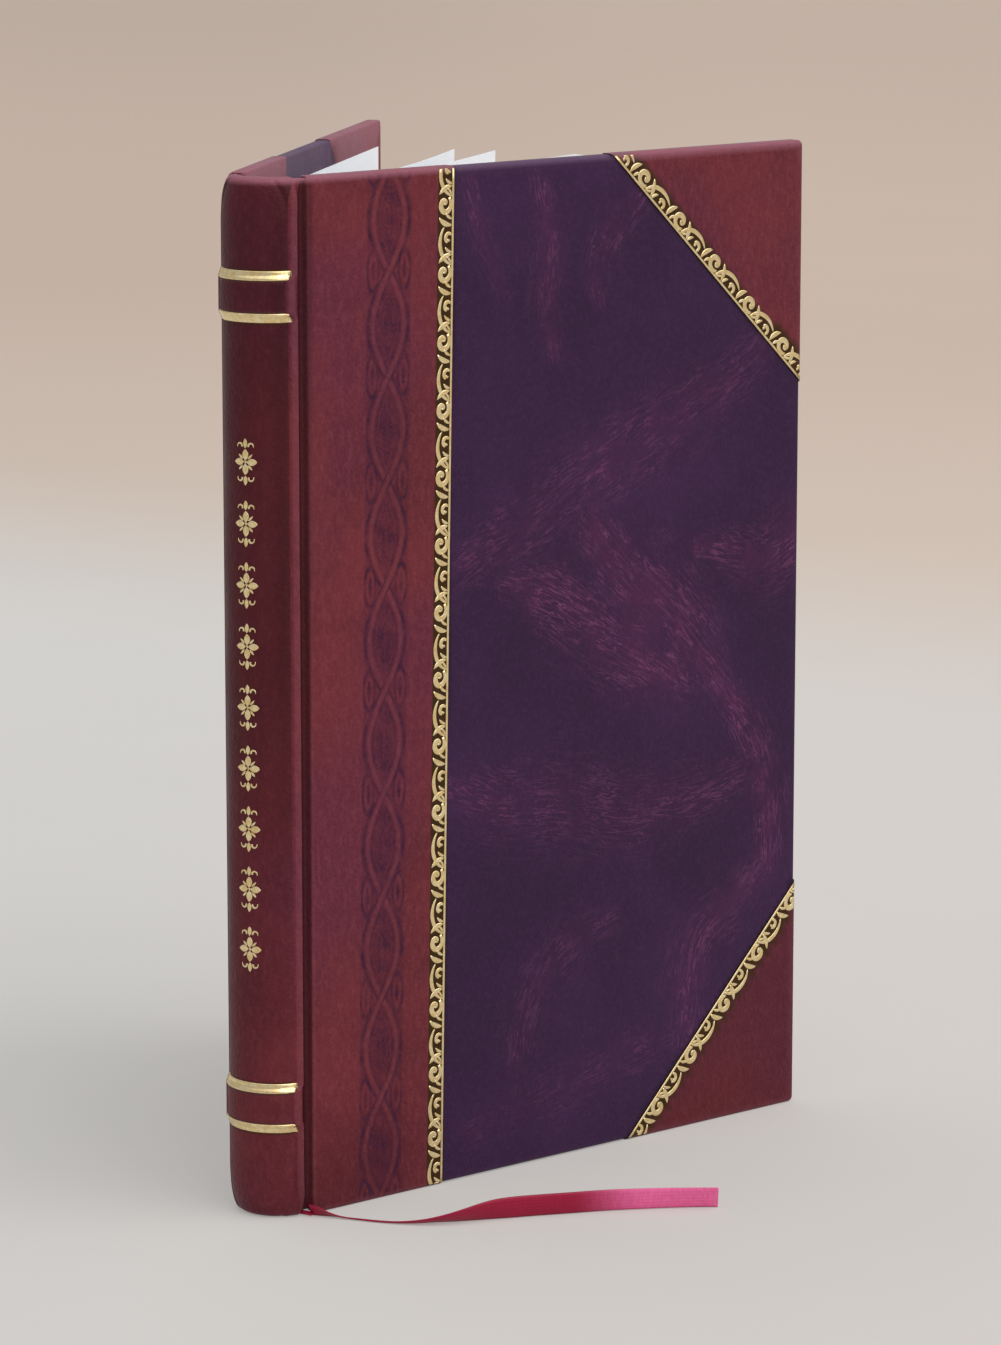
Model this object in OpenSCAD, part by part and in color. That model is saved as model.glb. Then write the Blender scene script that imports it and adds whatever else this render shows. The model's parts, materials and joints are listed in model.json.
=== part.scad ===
/* [Cover] */
// Height of a cover over its leather, head to tail
cover_h = 222; // [190:1:250]
// Width of a cover, from the hinge line to the fore edge
cover_w = 142.5; // [120:0.5:170]
// Thickness of the grey board inside a cover
board_t = 2.5; // [1.8:0.1:3.5]
// Radius of the two round corners at the fore edge of a board
corner_r = 2.5; // [1:0.25:5]
// Angle at which the front cover stands open
front_open = 19; // [5:0.5:35]
// Angle at which the rear cover stands open
rear_open = 20.5; // [5:0.5:35]

/* [Coverings] */
// Thickness of the leather
leather_t = 0.8; // [0.6:0.05:1]
// Thickness of the siding between the leather strip and the corners
siding_t = 0.6; // [0.4:0.05:0.8]
// Thickness of the pared turn-ins on the inner side of a board
turn_in_t = 0.3; // [0.2:0.05:0.4]
// Width of the turn-ins, measured from the edge of the board
turn_in_w = 15; // [10:0.5:20]
// Thickness of the endpapers
paper_t = 0.2; // [0.15:0.05:0.3]
// Width of the leather strip beside the joint, at the head
strip_head_w = 41; // [32:0.5:48]
// Width of the leather strip beside the joint, at the tail
strip_tail_w = 37; // [32:0.5:48]
// Leg of the head corner along the head of the board
head_corner_w = 57; // [40:0.5:62]
// Leg of the head corner along the fore edge
head_corner_h = 54.5; // [40:0.5:62]
// Leg of the tail corner along the tail of the board
tail_corner_w = 51.5; // [40:0.5:62]
// Leg of the tail corner along the fore edge
tail_corner_h = 52.5; // [40:0.5:62]

/* [Joint] */
// Radius of the groove that runs along the hinge line
groove_r = 1.2; // [1:0.1:1.6]
// Height by which the leather in the groove ends short of head and tail
groove_end = 1.2; // [1:0.1:2]
// Angle left free between the two halves of the groove leather when closed
groove_gap = 14; // [10:1:24]
// Clearance between a closed cover and the pages
closed_gap = 0.2; // [0.1:0.05:0.5]
// Clearance between the spine and a cover that is folded right back
spine_gap = 0.3; // [0.2:0.05:0.6]

/* [Spine] */
// Distance from the hinge line to the back of the spine
spine_back = 7.8; // [6.5:0.1:9.5]
// Distance from the hinge line to where the round of the spine begins
spine_side = 2.3; // [2:0.1:3.5]
// Thickness of the card that stiffens the spine
inlay_t = 0.9; // [0.5:0.1:1.2]
// Height of the rounding at head and tail of the spine
cap_h = 10; // [5:0.5:14]
// Depth of that rounding
cap_in = 2.4; // [1.5:0.1:3]
// Height of the leather roll that closes the spine at head and tail
cap_rim = 1.6; // [1:0.1:2.5]
// How far a raised band stands out
band_rise = 0.6; // [0.3:0.05:1]
// Height of a raised band, along the spine
band_w = 7; // [4:0.25:9]
// Distance from the head to the middle of the upper band
head_band_drop = 24.5; // [18:0.5:45]
// Distance from the tail to the middle of the lower band
tail_band_rise = 24.5; // [18:0.5:45]

/* [Pages] */
// How far the covers stand beyond the pages at the head
head_margin = 6; // [3:0.5:8]
// How far they stand beyond them at the tail
tail_margin = 5.5; // [3:0.5:8]
// How far they stand beyond them at the fore edge
fore_margin = 5; // [3:0.5:8]
// Thickness of the pages together
pages_t = 9.8; // [6:0.2:20]
// How far the back of the pages is rounded
page_round = 2; // [1:0.1:2.4]
// Distance from the hinge line to the first and last page's spine edge
page_setback = 1; // [0.5:0.1:1.5]
// Thickness of the cloth lining on the back of the pages
lining_t = 0.4; // [0.2:0.05:0.6]
// Radius of the bead of a headband
headband_r = 0.8; // [0.6:0.05:1]
// Angle from the pages at which the loose leaf stands
leaf_angle = 8.6; // [4:0.2:11]
// Angle from the pages at which the rear flyleaf stands
flyleaf_angle = 12.7; // [11:0.2:15]

/* [Gilding] */
// Thickness of the gold
gold_t = 0.15; // [0.1:0.01:0.2]
// Width of a gold roll
roll_w = 4.2; // [3:0.1:5]
// Width of a gold line across the spine
fillet_w = 2; // [1:0.1:3]
// Distance between the middles of a band and of the gold line beside it
fillet_offset = 4.4; // [3.5:0.1:6]
// Height of one ornament on the spine
ornament_h = 9.8; // [6:0.2:12]
// Distance between the ornaments along the spine
ornament_step = 13; // [9:0.5:20]
// Number of ornaments along the spine
ornament_n = 9; // [3:1:11]

/* [Ribbon] */
// Width of the ribbon between the pages
ribbon_w = 5; // [3:0.5:6]
// Thickness of the ribbon
ribbon_t = 0.25; // [0.15:0.05:0.4]
// Diameter of the free ribbon's tube
ribbon_d = 3.6; // [2:0.1:3.8]

/* [Hidden] */
$fn = 96;

leather_red = [0.40, 0.13, 0.13];
siding_purple = [0.20, 0.10, 0.22];
gold = [0.85, 0.66, 0.28];
paper_white = [0.93, 0.92, 0.88];
board_grey = [0.62, 0.58, 0.52];
cloth_cream = [0.85, 0.80, 0.68];
ribbon_pink = [0.80, 0.08, 0.35];

// More than any size here, for cuts that run right through
far = 400;
// Depths in a cover, measured inward from the outer face of its leather
board_near = leather_t;
board_far = board_near + board_t;
turn_far = board_far + turn_in_t;
paste_far = turn_far + paper_t;
// Half thickness of the pages with two loose leaves laid on them
block_half = pages_t / 2 + 2 * paper_t;
// Distance from the middle of the book to each hinge line
hinge_y = block_half + closed_gap + paste_far;
// Edge of the board beside the groove
board_edge = groove_r + leather_t;
// Half width of the spine
spine_half = hinge_y - spine_gap;
// Round of the spine through its back and its two sides
spine_rise = spine_back - spine_side;
spine_r = (spine_half * spine_half + spine_rise * spine_rise) / (2 * spine_rise);
spine_x = spine_r - spine_back;
// Height of the slope beside a raised band
band_slope = 1.2;
// Height of the turn-in inside the spine
spine_turn_h = turn_in_w;
// Layers of the spine, measured inward from its leather face
inlay_near = leather_t;
inlay_far = inlay_near + inlay_t;
spine_turn_far = inlay_far + turn_in_t;
// Heights between which the pages stand
page_low = tail_margin;
page_high = cover_h - head_margin;
page_h = page_high - page_low;
// Width of a page, from the spine to the fore edge
page_w = cover_w - fore_margin + page_setback;
// Round of the back of the pages
back_x = -page_setback - page_round;
back_r = (pow(pages_t / 2, 2) + page_round * page_round) / (2 * page_round);
// How far the cloth lining reaches up beside the groove leather
lining_end = 0.2;
// Highest and lowest points of the cloth lining, clear of the turn-ins of the spine
lining_low = spine_turn_h + 1;
lining_high = cover_h - lining_low;
// Middle of the raised bands
band_z = [tail_band_rise, cover_h - head_band_drop];
// Spine edge of the ribbon between the pages
ribbon_x = 0.3 - page_setback;
// Highest point of the folded ribbon that passes under the joint
fold_top = 0.8;
fold_w = 1.1;
// Furthest reach of the folded ribbon past the hinge line
fold_reach = groove_r - 0.2;

// Each leaf that stands away from the pages starts at its own angle and height
leaf_start = 2.5;
leaf_root = [-page_setback, pages_t / 2];
flyleaf_start = 5;
flyleaf_root = [-page_setback, pages_t / 2 + paper_t + 0.05];

// Highest and lowest points of the book on each axis, without the ribbon
front_reach = [cover_w * cos(front_open) + turn_far * sin(front_open),
               -hinge_y - cover_w * sin(front_open)];
rear_reach = [cover_w * cos(rear_open) + turn_far * sin(rear_open),
              hinge_y + cover_w * sin(rear_open)];
leaf_reach = leaf_root[0] + page_w * cos(leaf_angle);
x_low = -spine_back - band_rise - gold_t;
x_high = max(front_reach[0], rear_reach[0], leaf_reach);
centre = [(x_low + x_high) / 2, (front_reach[1] + rear_reach[1]) / 2];

// Route of the free ribbon along the table, from the joint to its cut end
ribbon_route = [
  [0, -10.7], [0.6, -13], [1.4, -16], [2.2, -20], [3.2, -25], [4.8, -30], [7.2, -35],
  [11, -40], [17, -45.5], [23, -51], [29, -57], [35, -63], [40.5, -69.5], [45.5, -76],
  [49.5, -82]
];

// Points on an arc, the angles counted from the first axis
function arc(middle, r, from, to, steps) =
  [for (i = [0:steps])
    let (a = from + (to - from) * i / steps)
    [middle[0] + r * cos(a), middle[1] + r * sin(a)]];

// How far the raised bands lift the leather at a height
function band_at(z, m) =
  abs(z - m) <= band_w / 2 ? band_rise :
  abs(z - m) >= band_w / 2 + band_slope ? 0 :
  band_rise * (1 + cos(180 * (abs(z - m) - band_w / 2) / band_slope)) / 2;

// Loss of radius at a distance from the end of the spine
function cap_at(d) = d >= cap_h ? 0 : cap_in * (1 - sqrt(1 - pow(1 - max(d, 0) / cap_h, 2)));

// Radius of the spine at a height, with or without its bands, less an inset
function spine_at(z, bands, inset) =
  spine_r - cap_at(min(z, cover_h - z)) - inset
  + (bands ? band_at(z, band_z[0]) + band_at(z, band_z[1]) : 0);

// Heights at which the outline of the spine changes direction
cap_steps = [0, 0.04, 0.14, 0.3, 0.5, 0.74, 1];
function band_heights(m) = [for (k = [-1, 1], s = [0, 0.25, 0.5, 0.75, 1])
  m + k * (band_w / 2 + (k < 0 ? 1 - s : s) * band_slope)];
spine_heights = concat(
  [for (s = cap_steps) s * cap_h],
  band_heights(band_z[0]), band_heights(band_z[1]),
  [for (i = [len(cap_steps) - 1:-1:0]) cover_h - cap_steps[i] * cap_h]);

// Half width of the spine at a distance from its end
function side_at(z) = spine_half - cap_at(min(z, cover_h - z)) * 0.4;

module placed() {
  translate([-centre[0], -centre[1], 0]) children();
}

module on_front() {
  placed() translate([0, -hinge_y, 0]) rotate(-front_open) children();
}

module on_rear() {
  placed() translate([0, hinge_y, 0]) rotate(rear_open) mirror([0, 1, 0]) children();
}

// A flat shape, drawn as width and height, given a depth from near to deep
module plate(near, deep) {
  translate([0, deep, 0]) rotate([90, 0, 0]) linear_extrude(deep - near) children();
}

// Outline of a cover with its two fore corners rounded, grown past the board by t
module cover_outline(left, t) {
  right = cover_w - leather_t + t;
  low = leather_t - t;
  high = cover_h - low;
  r = corner_r - leather_t + t;
  translate([left, low]) square([right - left - r, high - low]);
  translate([left, low + r]) square([right - left, high - low - 2 * r]);
  for (z = [low + r, high - r]) translate([right - r, z]) circle(r);
}

// Area of the leather strip beside the joint
module strip_area() {
  polygon([[-far, 0], [strip_tail_w, 0], [strip_head_w, cover_h], [-far, cover_h]]);
}

// Area of the two leather corners
module head_area() {
  polygon([[cover_w - head_corner_w, cover_h], [cover_w + 1, cover_h],
           [cover_w + 1, cover_h - head_corner_h - head_corner_h / head_corner_w],
           [cover_w, cover_h - head_corner_h]]);
}

module tail_area() {
  polygon([[cover_w - tail_corner_w, 0], [cover_w + 1, 0],
           [cover_w + 1, tail_corner_h + tail_corner_h / tail_corner_w],
           [cover_w, tail_corner_h]]);
}

// A covering of thickness t that runs over a board and turns in round its edges
module wrap(left, t) {
  difference() {
    plate(leather_t - t, turn_far) cover_outline(left, t);
    plate(board_near, board_far) cover_outline(left - 1, 0);
    plate(board_far, turn_far + 1) translate([-far, turn_in_w])
      square([far + cover_w - turn_in_w, cover_h - 2 * turn_in_w]);
  }
}

module board() {
  color(board_grey) plate(board_near, board_far) cover_outline(board_edge, 0);
}

module cover_leather() {
  color(leather_red) {
    intersection() {
      wrap(groove_r, leather_t);
      plate(-1, far) strip_area();
    }
    translate([0, 0, groove_end]) linear_extrude(cover_h - 2 * groove_end)
      intersection() {
        groove_ring();
        polygon([[0, 0], [far, 0], [far, far], [far / tan(90 - groove_gap / 2), far]]);
      }
  }
}

// Leather in the groove, as a ring round the hinge line
module groove_ring() {
  difference() {
    circle(board_edge);
    circle(groove_r);
  }
}

module siding() {
  color(siding_purple) intersection() {
    wrap(groove_r, siding_t);
    plate(-1, far) difference() {
      translate([0, 0]) square([far, cover_h]);
      strip_area();
      head_area();
      tail_area();
    }
  }
}

module head_corner() {
  color(leather_red) intersection() {
    wrap(groove_r, leather_t);
    plate(-1, far) head_area();
  }
}

module tail_corner() {
  color(leather_red) intersection() {
    wrap(groove_r, leather_t);
    plate(-1, far) tail_area();
  }
}

// Sheet of the pasted endpaper, let down over the turn-ins
module pastedown() {
  color(paper_white) difference() {
    plate(board_far, paste_far) translate([board_edge, page_low])
      square([page_w - page_setback - board_edge + 1, page_h]);
    difference() {
      plate(board_far - 1, turn_far) translate([-far, -1]) square([2 * far, cover_h + 2]);
      plate(board_far - 2, turn_far + 1) translate([-far, turn_in_w])
        square([far + cover_w - turn_in_w, cover_h - 2 * turn_in_w]);
    }
  }
}

// A stroke that winds round a middle from one angle to another, as its radius goes
// from r[0] to r[1] and its width from w[0] past w[1] to w[2]
function swirl(middle, r, w, from, to, steps) =
  let (edge = function(k) [for (i = [0:steps])
    let (t = i / steps, a = from + (to - from) * t,
         wide = w[0] * pow(1 - t, 2) + 2 * w[1] * t * (1 - t) + w[2] * t * t,
         reach = r[0] + (r[1] - r[0]) * t + k * wide / 2)
    [middle[0] + reach * cos(a), middle[1] + reach * sin(a)]],
    inner = edge(-1))
  concat(edge(1), [for (i = [steps:-1:0]) inner[i]]);

// One repeat of a gold roll, 12.4 long and 4.2 wide, its straight line left out
module roll_motif() {
  polygon(swirl([3.1, 1.8], [0.5, 1.9], [0.8, 1.7, 0.5], 25, -310, 8));
  polygon(swirl([8.8, 4.6], [4.3, 4], [0.3, 1.6, 0.3], -168, -52, 4));
  polygon(swirl([9.2, 2.7], [0.35, 1.2], [0.7, 1.1, 0.4], 215, 405, 4));
  polygon([[3.9, 3.9], [5.3, 2], [5.1, 0.2], [6.6, 3.9]]);
  polygon([[10.9, 3.9], [12, 2.2], [13, 0.2], [13.3, 3.9]]);
}

// A gold roll of a length along the first axis, its straight line at the top
module roll_strip(length) {
  s = roll_w / 4.2;
  step = 12.4 * s;
  intersection() {
    square([length, roll_w]);
    union() {
      translate([0, roll_w * 0.87]) square([length, roll_w * 0.13]);
      for (i = [0:ceil(length / step)]) translate([(i - 0.5) * step, 0]) scale(s) roll_motif();
    }
  }
}

module gold_plate() {
  color(gold) intersection() {
    plate(-gold_t, 0) children();
    plate(-1, 1) cover_outline(-1, leather_t);
  }
}

module gold_roll() {
  lean = atan2(strip_head_w - strip_tail_w, cover_h);
  length = cover_h / cos(lean);
  gold_plate() translate([strip_tail_w, 0]) rotate(90 - lean) mirror([0, 1, 0])
    translate([0, -roll_w]) roll_strip(length);
}

module head_roll() {
  slope = atan2(head_corner_h, head_corner_w);
  length = norm([head_corner_w, head_corner_h]);
  gold_plate() translate([cover_w - head_corner_w, cover_h]) rotate(-slope)
    mirror([0, 1, 0]) translate([0, -roll_w]) roll_strip(length);
}

module tail_roll() {
  slope = atan2(tail_corner_h, tail_corner_w);
  length = norm([tail_corner_w, tail_corner_h]);
  gold_plate() translate([cover_w - tail_corner_w, 0]) rotate(slope)
    translate([0, -roll_w]) roll_strip(length);
}

// Solid of revolution with the outline of the spine, less an inset
module spine_round(bands, inset, low, high) {
  inner = [for (z = spine_heights) if (z > low && z < high) [spine_at(z, bands, inset), z]];
  translate([spine_x, 0, 0]) rotate_extrude()
    polygon(concat([[0, low], [spine_at(low, bands, inset), low]], inner,
                   [[spine_at(high, bands, inset), high], [0, high]]));
}

// The space between the two sides of the spine, drawn in a little at head and tail
module spine_sides(inset, reach) {
  outline = [for (z = spine_heights) [side_at(z) - inset, z]];
  mirrored = [for (i = [len(spine_heights) - 1:-1:0])
    [inset - side_at(spine_heights[i]), spine_heights[i]]];
  translate([reach, 0, 0]) rotate([90, 0, -90])
    linear_extrude(reach + 2 * spine_back) polygon(concat(outline, mirrored));
}

module spine_leather() {
  color(leather_red) placed() intersection() {
    spine_sides(0, board_edge);
    union() {
      intersection() {
        difference() {
          union() {
            difference() {
              spine_round(true, 0, 0, cover_h);
              spine_round(true, inlay_near, cap_rim, cover_h - cap_rim);
            }
            spine_round(false, inlay_far, 0, spine_turn_h);
            spine_round(false, inlay_far, cover_h - spine_turn_h, cover_h);
          }
          spine_round(false, spine_turn_far, -1, cover_h + 1);
        }
        translate([-far - groove_r, -far, 0]) cube([far, 2 * far, cover_h]);
      }
      for (side = [-1, 1]) translate([0, side * hinge_y, groove_end])
        linear_extrude(cover_h - 2 * groove_end) intersection() {
          groove_ring();
          polygon([[0, 0], [-far, 0], [-far, -side * far],
                   [-far / tan(90 - groove_gap / 2), -side * far]]);
        }
    }
  }
}

module spine_inlay() {
  color(cloth_cream) placed() intersection() {
    spine_sides(leather_t, -board_edge);
    difference() {
      spine_round(false, inlay_near, cap_rim, cover_h - cap_rim);
      spine_round(false, inlay_far, 0, cover_h);
    }
  }
}

// A strip of card under the leather, between the spine card and the leather
module raised_band(z) {
  reach = band_w / 2 + band_slope;
  color(board_grey) placed() intersection() {
    spine_sides(leather_t, -board_edge);
    difference() {
      spine_round(true, inlay_near, z - reach, z + reach);
      spine_round(false, inlay_near, z - reach - 1, z + reach + 1);
    }
  }
}

// The gold that covers the leather of the spine between two heights
module spine_gold(low, high) {
  intersection() {
    spine_sides(leather_t / 2, -spine_side);
    difference() {
      spine_round(true, -gold_t, low, high);
      spine_round(true, 0, low - 1, high + 1);
    }
  }
}

module spine_gold_lines() {
  color(gold) placed() for (m = band_z, k = [-1, 1])
    spine_gold(m + k * fillet_offset - fillet_w / 2, m + k * fillet_offset + fillet_w / 2);
}

// A four petalled flower with a drop above and below
module ornament() {
  petal = ornament_h * 0.12;
  for (a = [0:90:270]) rotate(a) translate([petal * 1.3, 0]) circle(petal, $fn = 12);
  for (k = [-1, 1]) translate([0, k * ornament_h * 0.33]) polygon([
    [-petal * 0.6, 0], [0, -k * petal * 0.6], [petal * 0.6, 0], [0, k * ornament_h * 0.17]]);
}

module spine_ornaments() {
  low = cover_h / 2 - (ornament_n - 1) * ornament_step / 2;
  color(gold) placed() intersection() {
    spine_gold(low - ornament_step / 2, low + (ornament_n - 0.5) * ornament_step);
    for (i = [0:ornament_n - 1]) translate([0, 0, low + i * ornament_step])
      rotate([90, 0, -90]) linear_extrude(2 * spine_back) ornament();
  }
}

// Plan of the pages, round at the back and hollow at the fore edge
module page_plan(half) {
  intersection() {
    translate([back_x, -half]) square([page_w + page_round, 2 * half]);
    union() {
      translate([back_x + back_r, 0]) circle(back_r);
      translate([-page_setback, -far]) square([far, 2 * far]);
    }
  }
}

module text_block() {
  color(paper_white) placed() difference() {
    translate([0, 0, page_low]) linear_extrude(page_h) difference() {
      page_plan(pages_t / 2);
      translate([back_x + back_r + page_w, 0]) circle(back_r);
    }
    translate([ribbon_x, -pages_t / 2 - 1, 0]) cube([ribbon_w, 1 + ribbon_t, far]);
  }
}

module front_flyleaf() {
  color(paper_white) placed() translate([-page_setback, -pages_t / 2 - paper_t, page_low])
    cube([page_w, paper_t, page_h]);
}

// A leaf that bends away from the pages to stand at an angle
module bent_leaf(root, start, angle) {
  r = page_w / (2 * sin(angle - start));
  middle = root + r * [-sin(start), cos(start)];
  color(paper_white) placed() translate([0, 0, page_low]) linear_extrude(page_h)
    intersection() {
      translate(middle) difference() {
        circle(r, $fn = 720);
        circle(r - paper_t, $fn = 720);
      }
      translate(root) rotate(angle) translate([0, -page_w / 4])
        square([page_w, page_w / 2]);
    }
}

module spine_lining() {
  color(cloth_cream) placed() translate([0, 0, lining_low])
    linear_extrude(lining_high - lining_low) {
      intersection() {
        translate([back_x + back_r, 0]) difference() {
          circle(back_r + lining_t);
          circle(back_r);
        }
        translate([-far, -pages_t / 2 - lining_t / 2])
          square([far - page_setback, pages_t + lining_t]);
      }
      for (side = [0, 1]) mirror([0, side])
        translate([-page_setback - lining_t, pages_t / 2])
          square([lining_t, hinge_y - board_edge - pages_t / 2 + lining_end]);
    }
}

// A beaded band on a tape that is glued to the lining, drawn upright from the page edge
module page_band() {
  intersection() {
    translate([back_x + back_r, 0, 0]) rotate_extrude() {
      translate([back_r, headband_r + 0.1]) circle(headband_r, $fn = 24);
      translate([back_r + lining_t, -7]) square([0.3, 7 + headband_r]);
    }
    translate([-far, -pages_t / 2, -far]) cube([far - page_setback, pages_t, 2 * far]);
  }
}

module headband() {
  color(cloth_cream) placed() translate([0, 0, page_high]) page_band();
}

module tailband() {
  color(cloth_cream) placed() translate([0, 0, page_low]) mirror([0, 0, 1]) page_band();
}

module ribbon_marker() {
  color(ribbon_pink) placed() {
    translate([ribbon_x, -pages_t / 2, page_low]) cube([ribbon_w, ribbon_t, page_h]);
    translate([-fold_w / 2, -pages_t / 2, ribbon_t]) cube([fold_w, ribbon_t, page_low]);
    translate([-fold_w / 2, -hinge_y - fold_reach, ribbon_t])
      cube([fold_w, hinge_y + fold_reach - pages_t / 2 + ribbon_t, fold_top - ribbon_t]);
  }
}

// Radius of the free ribbon's tube at a point of its route
function tube_r(i) = min(ribbon_d / 2, 0.4 + i * 0.35);

// A tube along the route, which lies on the table
module ribbon_end() {
  n = len(ribbon_route);
  sides = 8;
  heading = [for (i = [0:n - 1])
    ribbon_route[min(i + 1, n - 1)] - ribbon_route[max(i - 1, 0)]];
  rings = [for (i = [0:n - 1], j = [0:sides - 1])
    let (d = heading[i] / norm(heading[i]), a = 360 * (j + 0.5) / sides, r = tube_r(i))
    [ribbon_route[i][0] + r * cos(a) * d[1], ribbon_route[i][1] - r * cos(a) * d[0],
     r + r * sin(a)]];
  walls = [for (i = [0:n - 2], j = [0:sides - 1])
    [i * sides + j, (i + 1) * sides + j, (i + 1) * sides + (j + 1) % sides,
     i * sides + (j + 1) % sides]];
  start_face = [for (j = [0:sides - 1]) j];
  end_face = [for (j = [sides - 1:-1:0]) (n - 1) * sides + j];
  color(ribbon_pink) placed()
    polyhedron(rings, concat([start_face], [for (w = walls) w], [end_face]));
}

text_block();
front_flyleaf();
bent_leaf(flyleaf_root, flyleaf_start, flyleaf_angle);  // rear_flyleaf
bent_leaf(leaf_root, leaf_start, leaf_angle);  // loose_leaf
spine_lining();
headband();
tailband();
spine_inlay();
raised_band(band_z[1]);  // head_raised_band
raised_band(band_z[0]);  // tail_raised_band
spine_leather();
spine_gold_lines();
spine_ornaments();
ribbon_marker();
ribbon_end();
on_front() board();  // front_board
on_front() cover_leather();  // front_leather
on_front() siding();  // front_siding
on_front() head_corner();  // front_head_corner
on_front() tail_corner();  // front_tail_corner
on_front() gold_roll();  // front_gold_roll
on_front() head_roll();  // front_head_roll
on_front() tail_roll();  // front_tail_roll
on_front() pastedown();  // front_pastedown
on_rear() board();  // rear_board
on_rear() cover_leather();  // rear_leather
on_rear() siding();  // rear_siding
on_rear() head_corner();  // rear_head_corner
on_rear() tail_corner();  // rear_tail_corner
on_rear() gold_roll();  // rear_gold_roll
on_rear() head_roll();  // rear_head_roll
on_rear() tail_roll();  // rear_tail_roll
on_rear() pastedown();  // rear_pastedown
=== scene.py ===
import json
import math

import bmesh
import bpy
import numpy as np
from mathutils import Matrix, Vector
from mathutils.geometry import delaunay_2d_cdt


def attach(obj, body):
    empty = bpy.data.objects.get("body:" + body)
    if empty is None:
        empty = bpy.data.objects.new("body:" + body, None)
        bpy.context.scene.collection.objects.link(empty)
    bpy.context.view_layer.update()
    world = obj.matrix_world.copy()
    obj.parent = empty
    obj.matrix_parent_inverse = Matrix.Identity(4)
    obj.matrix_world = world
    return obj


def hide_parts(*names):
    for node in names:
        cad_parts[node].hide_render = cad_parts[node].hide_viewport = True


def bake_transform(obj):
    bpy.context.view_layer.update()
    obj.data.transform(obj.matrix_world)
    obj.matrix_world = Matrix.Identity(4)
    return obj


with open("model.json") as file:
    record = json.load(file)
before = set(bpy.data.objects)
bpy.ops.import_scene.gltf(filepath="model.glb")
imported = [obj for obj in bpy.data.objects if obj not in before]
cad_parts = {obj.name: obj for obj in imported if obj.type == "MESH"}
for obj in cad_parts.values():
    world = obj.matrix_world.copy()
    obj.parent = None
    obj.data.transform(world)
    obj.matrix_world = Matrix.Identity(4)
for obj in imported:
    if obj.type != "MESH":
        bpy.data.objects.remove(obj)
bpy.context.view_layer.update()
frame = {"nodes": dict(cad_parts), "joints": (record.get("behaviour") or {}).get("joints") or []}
JOINTS = {j["name"]: j for j in frame["joints"]}
MM = 0.001

# Sizes, in millimetres
# The hinges give the middle of the book, the distance between its joints and how far it is open.
FRONT_HINGE = JOINTS["front_hinge"]["pos_m"]
REAR_HINGE = JOINTS["rear_hinge"]["pos_m"]
MID_X = FRONT_HINGE[0]
MID_Y = (FRONT_HINGE[1] + REAR_HINGE[1]) / 2
HINGE_Y = (REAR_HINGE[1] - FRONT_HINGE[1]) / 2 / MM
FRONT, REAR = -1, 1
OPEN = {
    FRONT: math.radians(-JOINTS["front_hinge"]["range_deg"][0]),
    REAR: math.radians(-JOINTS["rear_hinge"]["range_deg"][0]),
}
BODY = {FRONT: "front_cover", REAR: "rear_cover"}
NAME = {FRONT: "front", REAR: "rear"}
BLOCK = "book_block"

COVER_H = 222.0
COVER_W = 142.5
# Thickness of the leather and of the siding.
LEATHER, SIDING = 0.8, 0.6
# Down to this depth a skin is outside its cover, and not on a turn-in.
OUTSIDE = 1.0
# Depth of the inner face of the board, of the turn-ins and of the pastedown.
BOARD_FAR = 3.3
TURN_FAR = 3.6
PASTE_FAR = 3.8
TURN_IN = 15.0
CORNER_R = 1.3
STRIP_TAIL, STRIP_HEAD = 37.0, 41.0
HEAD_CORNER = (57.0, 54.5)
TAIL_CORNER = (51.5, 52.5)
GROOVE_R = 1.2
GROOVE_DEEP = 1.05
GROOVE_TURN = 1.7
# How far the leather dips in the groove at each end.
GROOVE_DIP = {"tail": 1.0, "head": 0.4}
ROLL_W = 4.2

SPINE_HALF = 9.0
SPINE_BACK = 7.8
SPINE_SIDE = 2.3
SPINE_RISE = SPINE_BACK - SPINE_SIDE
SPINE_R = (SPINE_HALF**2 + SPINE_RISE**2) / (2 * SPINE_RISE)
SPINE_X = SPINE_R - SPINE_BACK
SPINE_TURN = 2.0
# How round a skin is where it turns in, outside and inside.
SPINE_BEND = (0.9, 0.8)
GROOVE_BEND = (0.6, 0.5)
COVER_BEND = (0.85, 0.5)
CAP_H, CAP_IN = 10.0, 2.4
BAND_RISE, BAND_W, BAND_SLOPE = 0.6, 7.0, 1.2
BAND_Z = (24.5, COVER_H - 24.5)
FILLET_W, FILLET_OFFSET, FILLET_REACH = 2.0, 4.4, 8.6

PAGE_LOW, PAGE_HIGH = 5.5, 216.0
PAGE_W = 138.5
PAGES_T = 9.8
PAGE_ROUND = 2.0
SETBACK = 1.0
PAPER = 0.2

# Places


def row(p):
    """Points in the book's own millimetres, moved to the row frame in metres."""
    p = np.asarray(p, float)
    return np.stack([p[..., 0] * MM + MID_X, p[..., 1] * MM + MID_Y, p[..., 2] * MM], -1)


def book_on_cover(side, a, q, z):
    """A place on a cover in the book's millimetres: a from the hinge, q inward, z up."""
    a, q, z = np.broadcast_arrays(*(np.asarray(v, float) for v in (a, q, z)))
    c, s = math.cos(OPEN[side]), math.sin(OPEN[side])
    return np.stack([a * c + q * s, side * (HINGE_Y + a * s - q * c), z], -1)


def on_cover(side, a, q, z):
    """The same place in the row frame."""
    return row(book_on_cover(side, a, q, z))


def from_end(z):
    """Distance from the nearer end of the book."""
    return np.minimum(z, COVER_H - z)


def border(z):
    """Distance from the hinge to the edge of the leather strip, at a height."""
    return STRIP_TAIL + (STRIP_HEAD - STRIP_TAIL) * np.asarray(z, float) / COVER_H


def smooth(x, lo, hi):
    """0 below lo, 1 above hi, and a soft step between them."""
    t = np.clip((np.asarray(x, float) - lo) / (hi - lo), 0, 1)
    return t * t * (3 - 2 * t)


# Meshes

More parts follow.
